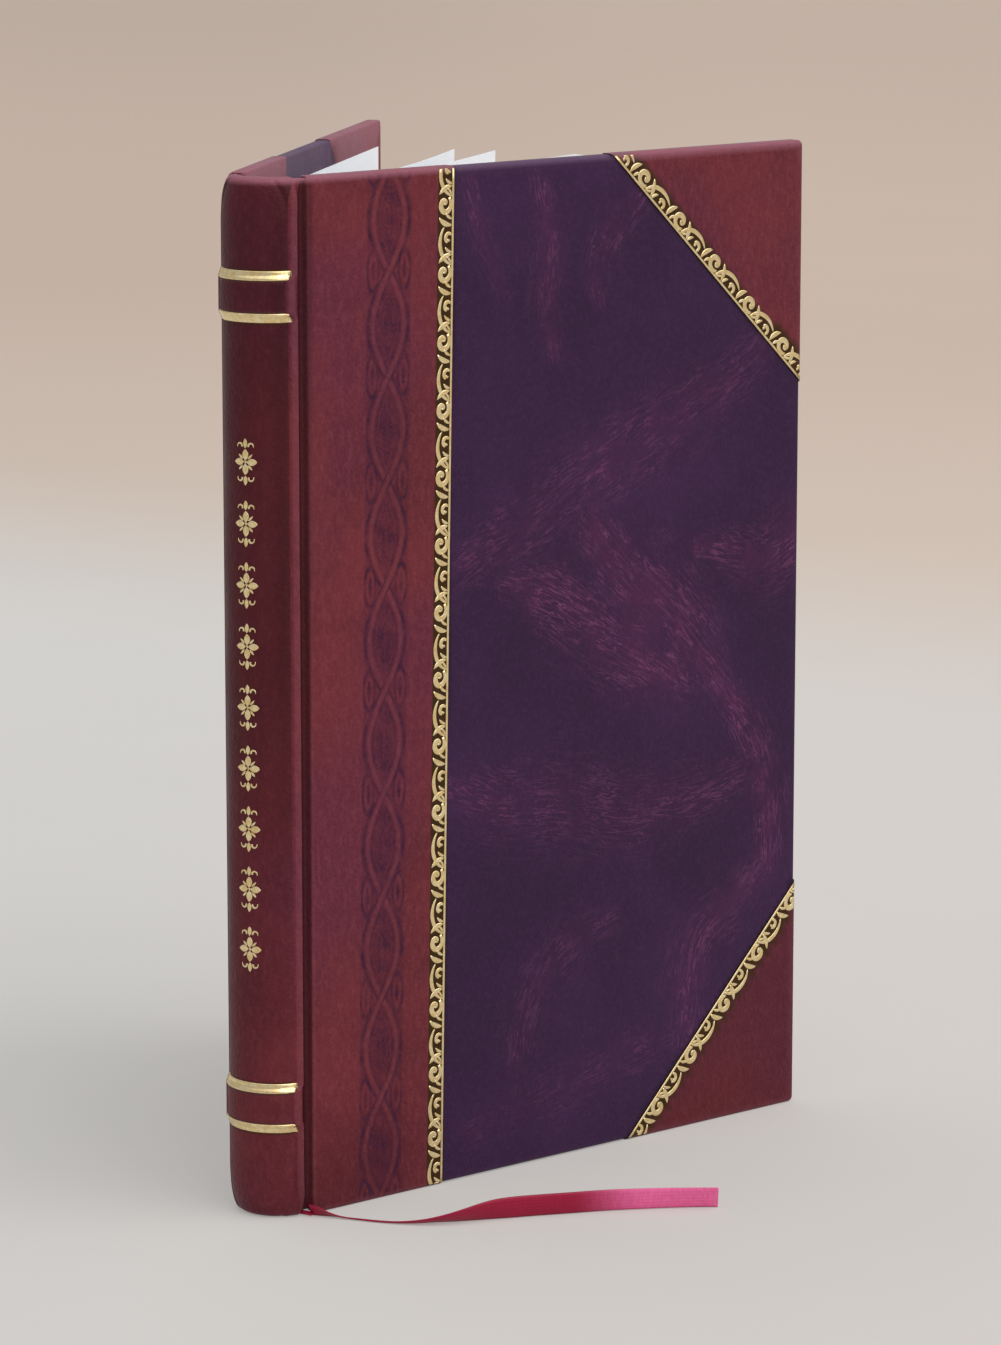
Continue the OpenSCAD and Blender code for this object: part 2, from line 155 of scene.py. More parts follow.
# Edges sharper than this, in degrees, stay crisp.
LEATHER_SHARP, PAPER_SHARP = 50, 40


def add_piece(mesh, material, slot, node=None, body=None, sharp=None):
    """The object of a finished mesh, and what it is in the frame: the CAD node that it stands
    for and the body that it rides on. slot is not used."""
    mesh.materials.append(material)
    if sharp:
        mesh.set_sharp_from_angle(angle=math.radians(sharp))
    obj = bpy.data.objects.new(mesh.name, mesh)
    bpy.context.scene.collection.objects.link(obj)
    if body:
        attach(obj, body)
    if node:
        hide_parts(node)
    return obj


def set_values(mesh, values):
    """Gives each vertex the named values that the materials read."""
    for key, data in values.items():
        mesh.attributes.new(key, "FLOAT", "POINT").data.foreach_set(
            "value", np.asarray(data, np.float32).ravel())


def make(name, shape, material, slot, values=None, flat=False, **given):
    """A piece from its vertices and faces: a closed mesh with its normals outward."""
    verts, faces = shape
    mesh = bpy.data.meshes.new(name)
    mesh.from_pydata(verts.tolist(), [], faces)
    set_values(mesh, values or {})
    bm = bmesh.new()
    bm.from_mesh(mesh)
    bmesh.ops.recalc_face_normals(bm, faces=bm.faces)
    bm.to_mesh(mesh)
    bm.free()
    if flat:
        mesh.shade_flat()
    else:
        mesh.shade_smooth()
    return add_piece(mesh, material, slot, **given)


def grid(a, b):
    """Two arrays of the values of a down the rows and of b along them."""
    return np.meshgrid(a, b, indexing="ij")


def tube(rings):
    """Vertices and faces of a tube through rings of points, its ends closed."""
    n, m = rings.shape[:2]
    i, j = grid(np.arange(n - 1), np.arange(m))
    k = (j + 1) % m
    quads = np.stack([i * m + j, i * m + k, (i + 1) * m + k, (i + 1) * m + j], -1)
    ends = [list(range(m)), list(range(n * m - 1, (n - 1) * m - 1, -1))]
    return rings.reshape(-1, 3), quads.reshape(-1, 4).tolist() + ends


def join_meshes(parts):
    """Vertices and faces of several shapes, as one shape."""
    verts, faces, n = [], [], 0
    for v, f in parts:
        verts.append(v)
        faces += [[n + k for k in face] for face in f]
        n += len(v)
    return np.concatenate(verts), faces


# Camera

# Fitted to the corners of the front board in the photograph.
CAMERA_AT = (-0.95608, -0.59034, 0.31807)
LOOK = Vector((0.84434, 0.50291, -0.1848))
SENSOR, LENS = 36.0, 138.1
camera_data = bpy.data.cameras.new("camera")
camera_data.sensor_width = SENSOR
camera_data.lens = LENS
camera_data.clip_end = 20
camera = bpy.data.objects.new("camera", camera_data)
camera.location = CAMERA_AT
camera.rotation_euler = LOOK.to_track_quat("-Z", "Y").to_euler()
bpy.context.scene.collection.objects.link(camera)
bpy.context.scene.camera = camera

# Materials


def srgb(r, g, b):
    """A colour in 0 to 255, as linear values."""
    out = []
    for c in (r, g, b):
        c /= 255
        out.append(c / 12.92 if c <= 0.04045 else ((c + 0.055) / 1.055) ** 2.4)
    return (*out, 1)


class Paint:
    """A material's nodes, wired by short calls."""

    def __init__(self, name, roughness=0.5, metallic=0.0, specular=0.5, sheen=0.0):
        self.material = bpy.data.materials.new(name)
        self.material.use_nodes = True
        self.tree = self.material.node_tree
        self.shader = self.tree.nodes["Principled BSDF"]
        self.feed(self.shader, {"Roughness": roughness, "Metallic": metallic,
                                "Specular IOR Level": specular, "Sheen Weight": sheen})
        self.place = self.node("ShaderNodeTexCoord")["Object"]

    def feed(self, node, inputs):
        """Links or sets inputs of a node, by their names or numbers."""
        for key, value in inputs.items():
            if isinstance(value, bpy.types.NodeSocket):
                self.tree.links.new(value, node.inputs[key])
            else:
                node.inputs[key].default_value = value

    def node(self, kind, inputs=None, **settings):
        """The outputs of a new node."""
        node = self.tree.nodes.new(kind)
        for key, value in settings.items():
            setattr(node, key, value)
        self.feed(node, inputs or {})
        return node.outputs

    def stretch(self, x, y, z):
        return self.node("ShaderNodeMapping", {"Vector": self.place, "Scale": (x, y, z)})["Vector"]

    def noise(self, scale, detail=3.0, rough=0.55, vector=None, distortion=0.0):
        return self.node("ShaderNodeTexNoise", {
            "Vector": vector or self.place, "Scale": scale, "Detail": detail,
            "Roughness": rough, "Distortion": distortion})["Fac"]

    def cells(self, scale, randomness=1.0):
        return self.node("ShaderNodeTexVoronoi", {
            "Vector": self.place, "Scale": scale, "Randomness": randomness})["Distance"]

    def bands(self, scale, distortion, direction):
        return self.node("ShaderNodeTexWave", {
            "Vector": self.place, "Scale": scale, "Distortion": distortion},
            bands_direction=direction)["Fac"]

    def math(self, operation, a, b=0.0, clamp=False):
        return self.node("ShaderNodeMath", {0: a, 1: b}, operation=operation,
                         use_clamp=clamp)[0]

    def span(self, value, lo, hi, out_lo=0.0, out_hi=1.0):
        """value between lo and hi, spread from out_lo to out_hi with soft ends."""
        return self.node("ShaderNodeMapRange", {
            "Value": value, "From Min": lo, "From Max": hi, "To Min": out_lo,
            "To Max": out_hi}, interpolation_type="SMOOTHSTEP")["Result"]

    def value(self, name):
        return self.node("ShaderNodeAttribute", attribute_name=name)["Fac"]

    def mix(self, factor, a, b):
        # The sockets of a mix of colours are 0, 6 and 7, and its result is 2.
        return self.node("ShaderNodeMix", {0: factor, 6: a, 7: b}, data_type="RGBA")[2]

    def tint(self, tone, where, share, color):
        """tone with a share of a colour over it, where a pattern says."""
        return self.mix(self.math("MULTIPLY", where, share, True), tone, color)

    def finish(self, color, bumps=(), **more):
        """The material. bumps are pairs of a height and its depth in metres."""
        under = {}
        for height, depth in bumps:
            under = {"Normal": self.node("ShaderNodeBump", {
                "Height": height, "Distance": depth, "Strength": 1.0, **under})["Normal"]}
        self.feed(self.shader, {"Base Color": color, **under, **more})
        return self.material


def leather_paint():
    """Red leather: uneven dye with purple in it, a grain and pores."""
    p = Paint("red_leather", specular=0.14)
    dark, light = srgb(90, 31, 41), srgb(136, 66, 72)
    tone = p.mix(p.span(p.noise(30, 4, 0.6), 0.3, 0.72), dark, srgb(110, 41, 49))
    tone = p.tint(tone, p.span(p.noise(17, 3, 0.5), 0.46, 0.68), 0.65, srgb(88, 32, 58))
    grain = p.noise(1, 4, 0.65, p.stretch(900, 900, 420))
    tone = p.tint(tone, p.span(grain, 0.42, 0.72), 0.3, light)
    fine = p.noise(1500, 3, 0.6)
    tone = p.tint(tone, p.span(fine, 0.35, 0.75), 0.18, light)
    pores = p.cells(1300)
    tone = p.tint(tone, p.span(pores, 0.25, 0.0), 0.3, dark)
    # Painted shade darkens the spine between its creases, the groove and the tail, and heated
    # tools darken the leather.
    tone = p.tint(tone, p.value("painted_shade"), 0.85, srgb(46, 2, 8))
    uneven = p.span(p.noise(650, 4, 0.7), 0.3, 0.7, 0.65, 1.25)
    tone = p.tint(tone, p.value("tool"), uneven, srgb(60, 20, 47))
    # The brown ground under and beside the gold: tooled ground, partly painted shade.
    tone = p.mix(p.value("ground"), tone, srgb(56, 34, 4))
    # Pale edges and ridges: wear, and painted highlights.
    tone = p.tint(tone, p.value("wear_and_highlight"), 0.5, srgb(172, 112, 130))
    return p.finish(tone, [(p.noise(240, 3), 0.00008), (pores, 0.00009), (fine, 0.00004)],
                    Roughness=p.span(p.noise(60, 4), 0.3, 0.7, 0.38, 0.5))


def marbled_paint():
    """The purple siding: a dark ground with magenta clouds, and fine strands along them."""
    p = Paint("purple_siding", specular=0.14)
    tone = p.mix(p.span(p.noise(22, 4, 0.6), 0.35, 0.7), srgb(48, 25, 56), srgb(57, 30, 65))
    tone = p.tint(tone, p.span(p.noise(900, 3), 0.4, 0.75), 0.22, srgb(78, 48, 84))
    vein = p.value("vein")
    cloud = p.math("MULTIPLY", vein, p.span(p.noise(130, 5, 0.75), 0.3, 0.7, 0.2, 1.0))
    tone = p.tint(tone, cloud, 0.5, srgb(93, 38, 76))
    flow = p.node("ShaderNodeCombineXYZ", {
        "X": p.math("MULTIPLY", p.value("flow_along"), 0.1),
        "Y": p.math("MULTIPLY", p.value("flow_across"), 0.85)})[0]
    strand = p.math("ABSOLUTE", p.math("SUBTRACT", p.noise(1, 4, 0.6, flow, 0.7), 0.5))
    patch = p.span(p.noise(110, 5, 0.7), 0.38, 0.62)
    lines = p.math("MULTIPLY", p.math("MULTIPLY", p.span(strand, 0.04, 0.0), patch),
                   p.math("POWER", vein, 0.6))
    tone = p.tint(tone, lines, 0.8, srgb(124, 68, 108))
    # Pale edges: wear, and painted highlights.
    tone = p.tint(tone, p.value("wear_and_highlight"), 0.35, srgb(128, 100, 128))
    # Painted shadow where the siding meets the leather.
    tone = p.mix(p.value("painted_shade"), tone, srgb(20, 12, 26))
    return p.finish(tone, [(p.noise(200, 4), 0.00010), (p.cells(1300), 0.00007)],
                    Roughness=p.span(p.noise(40, 4), 0.3, 0.7, 0.42, 0.55))


def two_tone_paint(name, pattern, first, second, depth, **surface):
    """A plain material whose pattern(paint) gives both its two tones and its relief."""
    p = Paint(name, **surface)
    height = pattern(p)
    return p.finish(p.mix(height, first, second), [(height, depth)])


red_leather = leather_paint()
siding_paint = marbled_paint()

p = Paint("gold_foil", metallic=1.0)
worn = p.noise(900, 3, 0.6)
gold_paint = p.finish(p.mix(p.span(worn, 0.3, 0.7), srgb(230, 201, 140), srgb(245, 228, 182)),
                      [(p.noise(1400, 3), 0.00003)],
                      Roughness=p.span(worn, 0.3, 0.7, 0.34, 0.24))

paper_paint = two_tone_paint(
    "paper", lambda p: p.noise(1, 3, 0.6, p.stretch(900, 900, 500)),
    srgb(240, 243, 248), srgb(248, 250, 252), 0.00003, roughness=0.78, specular=0.3)
board_paint = two_tone_paint(
    "grey_board", lambda p: p.noise(500, 5, 0.7),
    srgb(120, 112, 100), srgb(172, 164, 150), 0.00008, roughness=0.85)
card_paint = two_tone_paint(
    "card", lambda p: p.noise(700, 5, 0.7),
    srgb(176, 160, 132), srgb(206, 194, 170), 0.00006, roughness=0.85)
cloth_paint = two_tone_paint(
    "lining_cloth", lambda p: p.cells(1100, 0.15),
    srgb(232, 226, 208), srgb(176, 166, 142), 0.00012, roughness=0.9, sheen=0.2)

p = Paint("page_edges", roughness=0.8, specular=0.3)
edge_tone = p.mix(p.noise(1, 4, 0.7, p.stretch(60, 4000, 60)),
                  srgb(206, 208, 208), srgb(236, 237, 236))
# Painted shade on the lines between leaves.
edges_paint = p.finish(p.mix(p.value("leaf"), edge_tone, srgb(150, 150, 150)),
                       [(p.noise(600, 3), 0.00003)])

p = Paint("headband_thread", roughness=0.6, sheen=0.3)
stitch = p.bands(330.0, 0.4, "Y")
thread_paint = p.finish(p.mix(p.span(stitch, 0.4, 0.6), srgb(236, 228, 208), srgb(150, 44, 48)),
                        [(stitch, 0.00015)])

p = Paint("ribbon_satin", roughness=0.36, specular=0.35)
satin = p.noise(1, 3, 0.6, p.stretch(2200, 2200, 300))
deep = p.mix(satin, srgb(138, 0, 42), srgb(170, 8, 62))
highlight_tone = p.mix(satin, srgb(232, 72, 140), srgb(250, 132, 184))
# The far end of the ribbon is painted brighter: a painted highlight.
ribbon_paint = p.finish(p.mix(p.value("painted_highlight"), deep, highlight_tone),
                        [(p.bands(420.0, 0.6, "Z"), 0.00003), (satin, 0.00003)])

# Ribbon

# Where part.scad takes the ribbon, in the book's millimetres, before the book is put in the
# middle of its footprint.
RIBBON_ROUTE = [
    (0, -10.7), (0.6, -13), (1.4, -16), (2.2, -20), (3.2, -25), (4.8, -30), (7.2, -35),
    (11, -40), (17, -45.5), (23, -51), (29, -57), (35, -63), (40.5, -69.5), (45.5, -76),
    (49.5, -82),
]
# Where it meets the fold that passes under the joint.
RIBBON_START = (0, -9.8)
RIBBON_W = 5.0
RIBBON_T = 0.25
# Its width where it is folded, and how much the bunch at the joint adds over how long a way.
FOLD_W, BUNCH_W, BUNCH_RUN = 1.0, 1.8, 5.4


def catmull(points, steps):
    """A smooth line through points, each span cut into steps."""
    pts = np.asarray(points, float)
    ext = np.vstack([2 * pts[0] - pts[1], pts, 2 * pts[-1] - pts[-2]])
    out = []
    for i in range(1, len(ext) - 2):
        p0, p1, p2, p3 = ext[i - 1:i + 3]
        for t in np.arange(steps) / steps:
            out.append(0.5 * (2 * p1 + (p2 - p0) * t + (2 * p0 - 5 * p1 + 4 * p2 - p3) * t**2
                              + (3 * p1 - p0 - 3 * p2 + p3) * t**3))
    out.append(pts[-1])
    return np.array(out)


def ribbon():
    """A satin ribbon that leaves the joint folded on itself, opens out, and stands on its
    lower edge to its cut end."""
    line = catmull([RIBBON_START] + RIBBON_ROUTE, 12)
    step = np.gradient(line, axis=0)
    step /= np.linalg.norm(step, axis=1)[:, None]
    run = np.concatenate([[0], np.cumsum(np.linalg.norm(np.diff(line, axis=0), axis=1))])
    # It comes out of the joint bunched, narrows to a thin fold and opens to its full width.
    bunch = np.exp(-(run / BUNCH_RUN) ** 2)
    width = FOLD_W + BUNCH_W * bunch + (RIBBON_W - FOLD_W) * smooth(run, 14, 43)
    # The bunch stands up, the fold lies nearly flat, and the open ribbon turns up on its edge.
    lean = np.radians(14 + 50 * bunch + 64 * smooth(run, 15, 47) - 8 * smooth(run, 61, 90))
    c, s = np.cos(lean), np.sin(lean)
    up = np.stack([c * step[:, 1], -c * step[:, 0], s], -1)
    face = np.stack([-s * step[:, 1], s * step[:, 0], c], -1)
    middle = np.stack([*line.T, (RIBBON_T + s * width) / 2], -1)
    across = np.linspace(-0.5, 0.5, 9)
    cup = 0.35 * np.sin(np.pi * run / run[-1])[:, None] * (4 * across**2 - 0.5)
    flat = middle[:, None] + (width[:, None] * across)[..., None] * up[:, None]
    front, back = (flat + (cup + k * RIBBON_T / 2)[..., None] * face[:, None] for k in (1, -1))
    rings = np.concatenate([front, back[:, ::-1]], 1)
    rings[..., 2] -= np.minimum(0, rings[..., 2].min(1))[:, None]
    # Painted highlight on the far end of the ribbon.
    painted_highlight = np.repeat(smooth(run / run[-1], 0.64, 0.84), rings.shape[1])
    obj = make("ribbon_end_satin", tube(row(rings)), ribbon_paint, "ribbon_satin",
               node="ribbon_end", body=BLOCK, values={"painted_highlight": painted_highlight})


ribbon()

# Leather of spine and strips


def cap_at(d):
    """How far the ends of the spine draw in, at a distance from its end."""
    d = np.clip(d, 0, CAP_H)
    return CAP_IN * (1 - np.sqrt(np.clip(1 - (1 - d / CAP_H) ** 2, 0, 1)))


def spine_radius(z):
    z = np.asarray(z, float)
    r = SPINE_R - cap_at(from_end(z))
    for m in BAND_Z:
        k = np.clip((np.abs(z - m) - BAND_W / 2) / BAND_SLOPE, 0, 1)
        r = r + BAND_RISE * (1 + np.cos(np.pi * k)) / 2
    return r


def spine_side(z):
    """Half the width of the spine between its sharp corners."""
    side = SPINE_HALF + BEAD_OUT - 0.5 * cap_at(from_end(z))
    return np.minimum(side, np.sqrt(spine_radius(z) ** 2 - (SPINE_X + GROOVE_R + 0.05) ** 2))


# The crease beside the bead lies this far from the middle of the spine.
CREASE_Y = 8.15
# The bead on the leather stands this far out over the groove.
BEAD_OUT = 0.3


def seam(z):
    """Where the skin of the spine ends and those of the strips begin, beside the crease."""
    return np.minimum(CREASE_Y - 0.1, spine_side(z) - 0.4)


def bead(y, z):
    """Relief of the bead along each side of the spine. Its crease turns in at head and tail."""
    end = np.clip(1 - from_end(z) / 9, 0, 1)
    out = np.abs(y) - CREASE_Y + 3.2 * end**2.5
    return 0.26 * smooth(out, -0.1, 0.9) - 0.18 * np.exp(-(out / 0.35) ** 2)


def spine_panel_shade(y, z):
    """Painted shade on the leather between the creases: deeper towards the creases and the head,
    lighter at the tail.
    """
    panel = (0.14 + 0.52 * smooth(z, 20, 130)) * (0.92 + 0.4 * smooth(np.abs(y), 4, 8))
    return panel * smooth(CREASE_Y + 0.1 - np.abs(y), 0, 0.3)


def beside_fillets(z):
    """The brown edge beside each fillet: the mark of the hot fillet, and painted shade at its
    rounded edges.
    """
    return sum(smooth(FILLET_W / 2 + 0.5 - np.abs(z - m - k * FILLET_OFFSET), 0, 0.3)
               for m in BAND_Z for k in (-1, 1))


def on_spine(y, z, out=0.0):
    """A place on the round of the spine, raised outward."""
    y, z, out = np.broadcast_arrays(*(np.asarray(v, float) for v in (y, z, out)))
    r = spine_radius(z)
    turn = np.arcsin(np.clip(y / r, -1, 1))
    r = r + bead(y, z) + out
    return row(np.stack([SPINE_X - r * np.cos(turn), r * np.sin(turn), z], -1))


# Rows up the outside of a skin, close enough together for the vine.
OUTER_ROWS = 668


def rim_highlight(z):
    """Painted highlight on the rim at the head, and a little of it at the tail."""
    return smooth(z, COVER_H - 1.9, COVER_H - 0.5) + 0.2 * smooth(1.5 - z, 0, 1.2)


def wrap_rows(low, high, near, far, edge_out, edge_in):
    """Depth and height of each row of a skin that turns in at head and tail.
    Each argument holds one value a column."""
    quarter = np.radians([22.5, 45, 67.5, 90])

    def end_rows(edge, inward, flap):
        """Rows from the outside round one end and down its turn-in."""
        rows = [(edge_out * (1 - np.cos(t)), edge + inward * edge_out * (1 - np.sin(t)))
                for t in quarter]
        rows += [(far - edge_in * (1 - np.cos(t)), edge + inward * edge_in * (1 - np.sin(t)))
                 for t in quarter[::-1]]
        return rows + [(far, edge + inward * edge_in), (far, flap), (near, flap)]

    rows = [(0, low + edge_out + f * (high - low - 2 * edge_out))
            for f in np.linspace(0, 1, OUTER_ROWS)]
    rows += end_rows(high, -1, COVER_H - TURN_IN) + end_rows(low, 1, TURN_IN)[::-1]
    depth, height = (np.array([pair[k] + 0 * low for pair in rows]) for k in (0, 1))
    return depth, height


def spine_skin():
    """The leather on the back of the spine, turned in at head and tail."""
    half = np.concatenate([np.linspace(0.09, 0.53, 6), np.linspace(0.555, 0.985, 18), [0.995, 1]])
    share = np.concatenate([-half[::-1], [0], half])
    depth, z = wrap_rows(*(np.full(len(share), v) for v in (
        0.0, COVER_H, LEATHER, SPINE_TURN, *SPINE_BEND)))
    rings = on_spine(share * seam(z), z, -depth).transpose(1, 0, 2)
    outer = np.zeros(depth.shape, bool)
    outer[:OUTER_ROWS] = True
    # Paler on the raised bands from wear, with the painted highlight of the rim; painted shade
    # between the creases; a brown edge beside the fillets, partly painted shade.
    band = sum(np.exp(-((np.abs(z - m) - BAND_W / 2) / 0.5) ** 2) for m in BAND_Z) * outer
    wear_and_highlight = np.clip(0.2 * band + rim_highlight(z), 0, 1)
    painted_shade = spine_panel_shade(share * seam(z), z) * (1 - wear_and_highlight)
    burn_and_shade = 0.75 * beside_fillets(z) * outer
    make("spine_leather_skin", tube(rings), red_leather, "red_leather",
         node="spine_leather", body=BLOCK, sharp=LEATHER_SHARP,
         values={"wear_and_highlight": wear_and_highlight.T, "painted_shade": painted_shade.T, "ground": burn_and_shade.T})


# The band of the vine lies between these distances from the edge of the strip, and its stems
# cross this often.
VINE_FROM, VINE_TO = 23.9, 11.1
VINE_STEP = 22.3
VINE_WAVE = 4.2


def vine(s, t, seed):
    """How deep a blind tool has pressed, from 0 to 1, at a place along and across the band:
    two stems that cross between long lobes, leaves in the lobes and buds beside the crossings.
    The second result is 1 on the stems, which stand up."""
    turn = np.pi * s / VINE_STEP
    lean = np.sqrt(1 + (VINE_WAVE * np.pi / VINE_STEP * np.cos(turn)) ** 2)
    swell = np.abs(np.sin(turn))
    outward = [np.sign(np.sin(turn)), -np.sign(np.sin(turn))]
    stems = [(t - k * VINE_WAVE * np.sin(turn)) / lean for k in (1, -1)]
    over = np.floor(turn / np.pi + 0.5) % 2 < 1

    def leaf(u, t, u0, t0, length, width, degrees, tone):
        """A toothed leaf with a rib, and veins from the rib to the teeth: its outline, and how
        deep it is pressed."""
        c, w = math.cos(math.radians(degrees)), math.sin(math.radians(degrees))
        x, y = (u - u0) * c + (t - t0) * w, -(u - u0) * w + (t - t0) * c
        k = np.clip(np.abs(x) / length, 0, 1)
        tooth = np.abs(np.sin(np.pi * (x - 0.8 * np.abs(y)) / 1.15))
        half = width * (1 - k**1.6) * (0.72 + 0.4 * tooth)
        body = smooth(half - np.abs(y), -0.12, 0.16) * (np.abs(x) < length)
        rib = np.exp(-(y / 0.15) ** 2) * (np.abs(x) < length * 0.8)
        veins = (1 - smooth(tooth, 0.1, 0.45)) * (width > 0.7)
        return body, tone * (1 - 0.75 * rib) * (1 - 0.5 * veins)

    # The ground of the band is lower than the leather beside it, and lowest inside the lobes.
    a = np.abs(t)
    press = smooth(5.9 - a, -0.4, 0.4) * (0.36 + 0.3 * smooth(VINE_WAVE * swell - a, 0.3, 1.6))
    lobe = s / VINE_STEP - 0.5
    u = (lobe - np.round(lobe)) * VINE_STEP
    shapes = [leaf(u, t, -0.8, 0, 4.6, 1.45, 0, 0.95), leaf(u, t, 6.6, 0, 1.5, 0.6, 0, 0.8)]
    shapes += [leaf(u, a, -5.2, 1.15, 2.2, 0.75, 26, 0.85),
               leaf(u, a, 0.2, 2.45, 3.2, 0.65, -6, 0.85),
               leaf(u, a, 4.5, 1.5, 2.4, 0.8, -26, 0.9)]
    for body, deep in shapes:
        press = press + (deep - press) * body
    # Each bud is a ring with a dark kernel.
    crossing = s / VINE_STEP
    u = (crossing - np.round(crossing)) * VINE_STEP - 0.4
    ring = np.hypot(u / 4.3, (a - 4.25) / 1.5)
    press = press * (1 - 0.8 * (ring < 0.85))
    press = np.maximum(press, 0.95 * np.exp(-((ring - 1) / 0.21) ** 2))
    press = np.maximum(press, 0.9 * leaf(u, a, 0, 4.2, 2.5, 0.55, 0, 1)[0])
    raised = np.zeros_like(press)
    for k, d in enumerate(stems):
        shown = ~((over if k else ~over) & (np.abs(stems[1 - k]) < 0.95))
        out = d * outward[k]
        line = np.exp(-((out - 0.9 - 0.35 * swell) / (0.32 + 0.42 * swell)) ** 2)
        line = np.maximum(line, 0.85 * np.exp(-((out + 0.9) / 0.32) ** 2))
        core = np.exp(-(d / 0.5) ** 4)
        press = np.where(shown, np.maximum(press, line) * (1 - 0.8 * core), press)
        raised = np.maximum(raised, core * shown)
    uneven = 0.76 + 0.24 * np.sin(0.31 * s + seed) * np.sin(0.83 * s + 1.7 * seed + 0.5 * t)
    return np.clip(press, 0, 1) * smooth(6.3 - a, 0, 0.4) * uneven, raised


# The columns of a strip's skin, in groups from the seam on the spine to the siding: over the
# bead, down the flank, round the groove, over the board, across the vine and on to the edge.
EASE = np.array([0, 0.03, 0.09, 0.17, 0.26, 0.36, 0.46, 0.56, 0.66, 0.76, 0.86, 0.94, 1])
FLANK = np.linspace(0, 1, 7)[1:]
GROOVE = np.linspace(0, 1, 23)[1:]
NEAR = np.array([0.2, 0.4, 0.6, 0.8, 1.1, 1.5, 2.1, 3.0, 4.6, 7.0, 10.0]) + GROOVE_R
VINE_BACK = np.arange(VINE_FROM, VINE_TO, -0.3)
REST_BACK = np.array([10.4, 8.6, 6.6, ROLL_W + 0.3, ROLL_W, ROLL_W - 0.25, 2.8, 1.4, 0])
# The column at which each group after the first one starts, and the number of columns.
FLANK_AT, GROOVE_AT, BOARD_AT, VINE_AT, REST_AT, COLUMNS = np.cumsum(
    [len(v) for v in (EASE, FLANK, GROOVE, NEAR, VINE_BACK, REST_BACK)])
COLUMN = np.arange(COLUMNS)
# How deep the vine is pressed into the leather.
TOOL_DEPTH = 0.18


def strip_rows():
    """Depth and height of each row of a strip's skin, which dips in the groove at both ends."""
    dip = ((COLUMN >= FLANK_AT + 2) & (COLUMN < BOARD_AT)).astype(float)
    for _ in range(10):
        dip[1:-1] = (dip[:-2] + 2 * dip[1:-1] + dip[2:]) / 4
    stops = [0, FLANK_AT, GROOVE_AT, BOARD_AT - 2, BOARD_AT + 3, COLUMNS]

    def spread(spine, groove, cover):
        """A value a column, that changes over the flank and beside the groove."""
        return np.interp(COLUMN, stops, [spine, spine, groove, groove, cover, cover])

    return wrap_rows(GROOVE_DIP["tail"] * dip, COVER_H - GROOVE_DIP["head"] * dip,
                     np.full(len(COLUMN), LEATHER), spread(SPINE_TURN, GROOVE_TURN, TURN_FAR),
                     *(spread(*radii) for radii in zip(SPINE_BEND, GROOVE_BEND, COVER_BEND)))


def strip_section(side, z):
    """The outside of a strip at each row and column, and its distance from the hinge along the
    cover from the board's edge on."""
    x, y = np.zeros_like(z), np.zeros_like(z)
    r, flat = spine_radius(z), spine_side(z)
    b = FLANK_AT
    y[:, :b] = seam(z)[:, :b] + (flat - seam(z))[:, :b] * EASE
    turn = np.arcsin(y / r)[:, :b]
    lift = (r + bead(y, z))[:, :b]
    x[:, :b], y[:, :b] = SPINE_X - lift * np.cos(turn), lift * np.sin(turn)
    start = np.arcsin(np.clip((HINGE_Y - flat) / GROOVE_R, 0.25, 0.97))
    a, b = FLANK_AT, GROOVE_AT
    corner_x, corner_y = x[:, a - 1:a], y[:, a - 1:a]
    top_x, top_y = -GROOVE_R * np.cos(start), HINGE_Y - GROOVE_DEEP * np.sin(start)
    x[:, a:b] = corner_x + (top_x[:, a:b] - corner_x) * FLANK
    y[:, a:b] = corner_y + (top_y[:, a:b] - corner_y) * FLANK
    a, b = GROOVE_AT, BOARD_AT
    turn = start[:, a:b] + (np.pi + OPEN[side] - start[:, a:b]) * GROOVE
    x[:, a:b] = -GROOVE_R * np.cos(turn)
    y[:, a:b] = HINGE_Y - np.where(turn < np.pi, GROOVE_DEEP, GROOVE_R) * np.sin(turn)
    edge = border(z)
    along = np.concatenate([
        np.repeat(NEAR[None], len(z), 0),
        edge[:, VINE_AT:REST_AT] - VINE_BACK,
        edge[:, REST_AT:] - REST_BACK], 1)
    # The last columns before the vine keep out of its way where the strip is narrow.
    n = len(NEAR)
    along[:, :n] = np.minimum(along[:, :n], along[:, n:n + 1] - 0.4 * (n - np.arange(n)))
    x[:, b:] = along * math.cos(OPEN[side])
    y[:, b:] = HINGE_Y + along * math.sin(OPEN[side])
    # The corners of the flank and of the groove are rounded, and the seam is left alone.
    keep = smooth(COLUMN, 5, 10) * smooth(BOARD_AT + 10 - COLUMN, 0, 3) * 0.5
    for _ in range(16):
        for v in (x, y):
            v[:, 1:-1] += keep[1:-1] * ((v[:, :-2] + v[:, 2:]) / 2 - v[:, 1:-1])
    return x, y, along


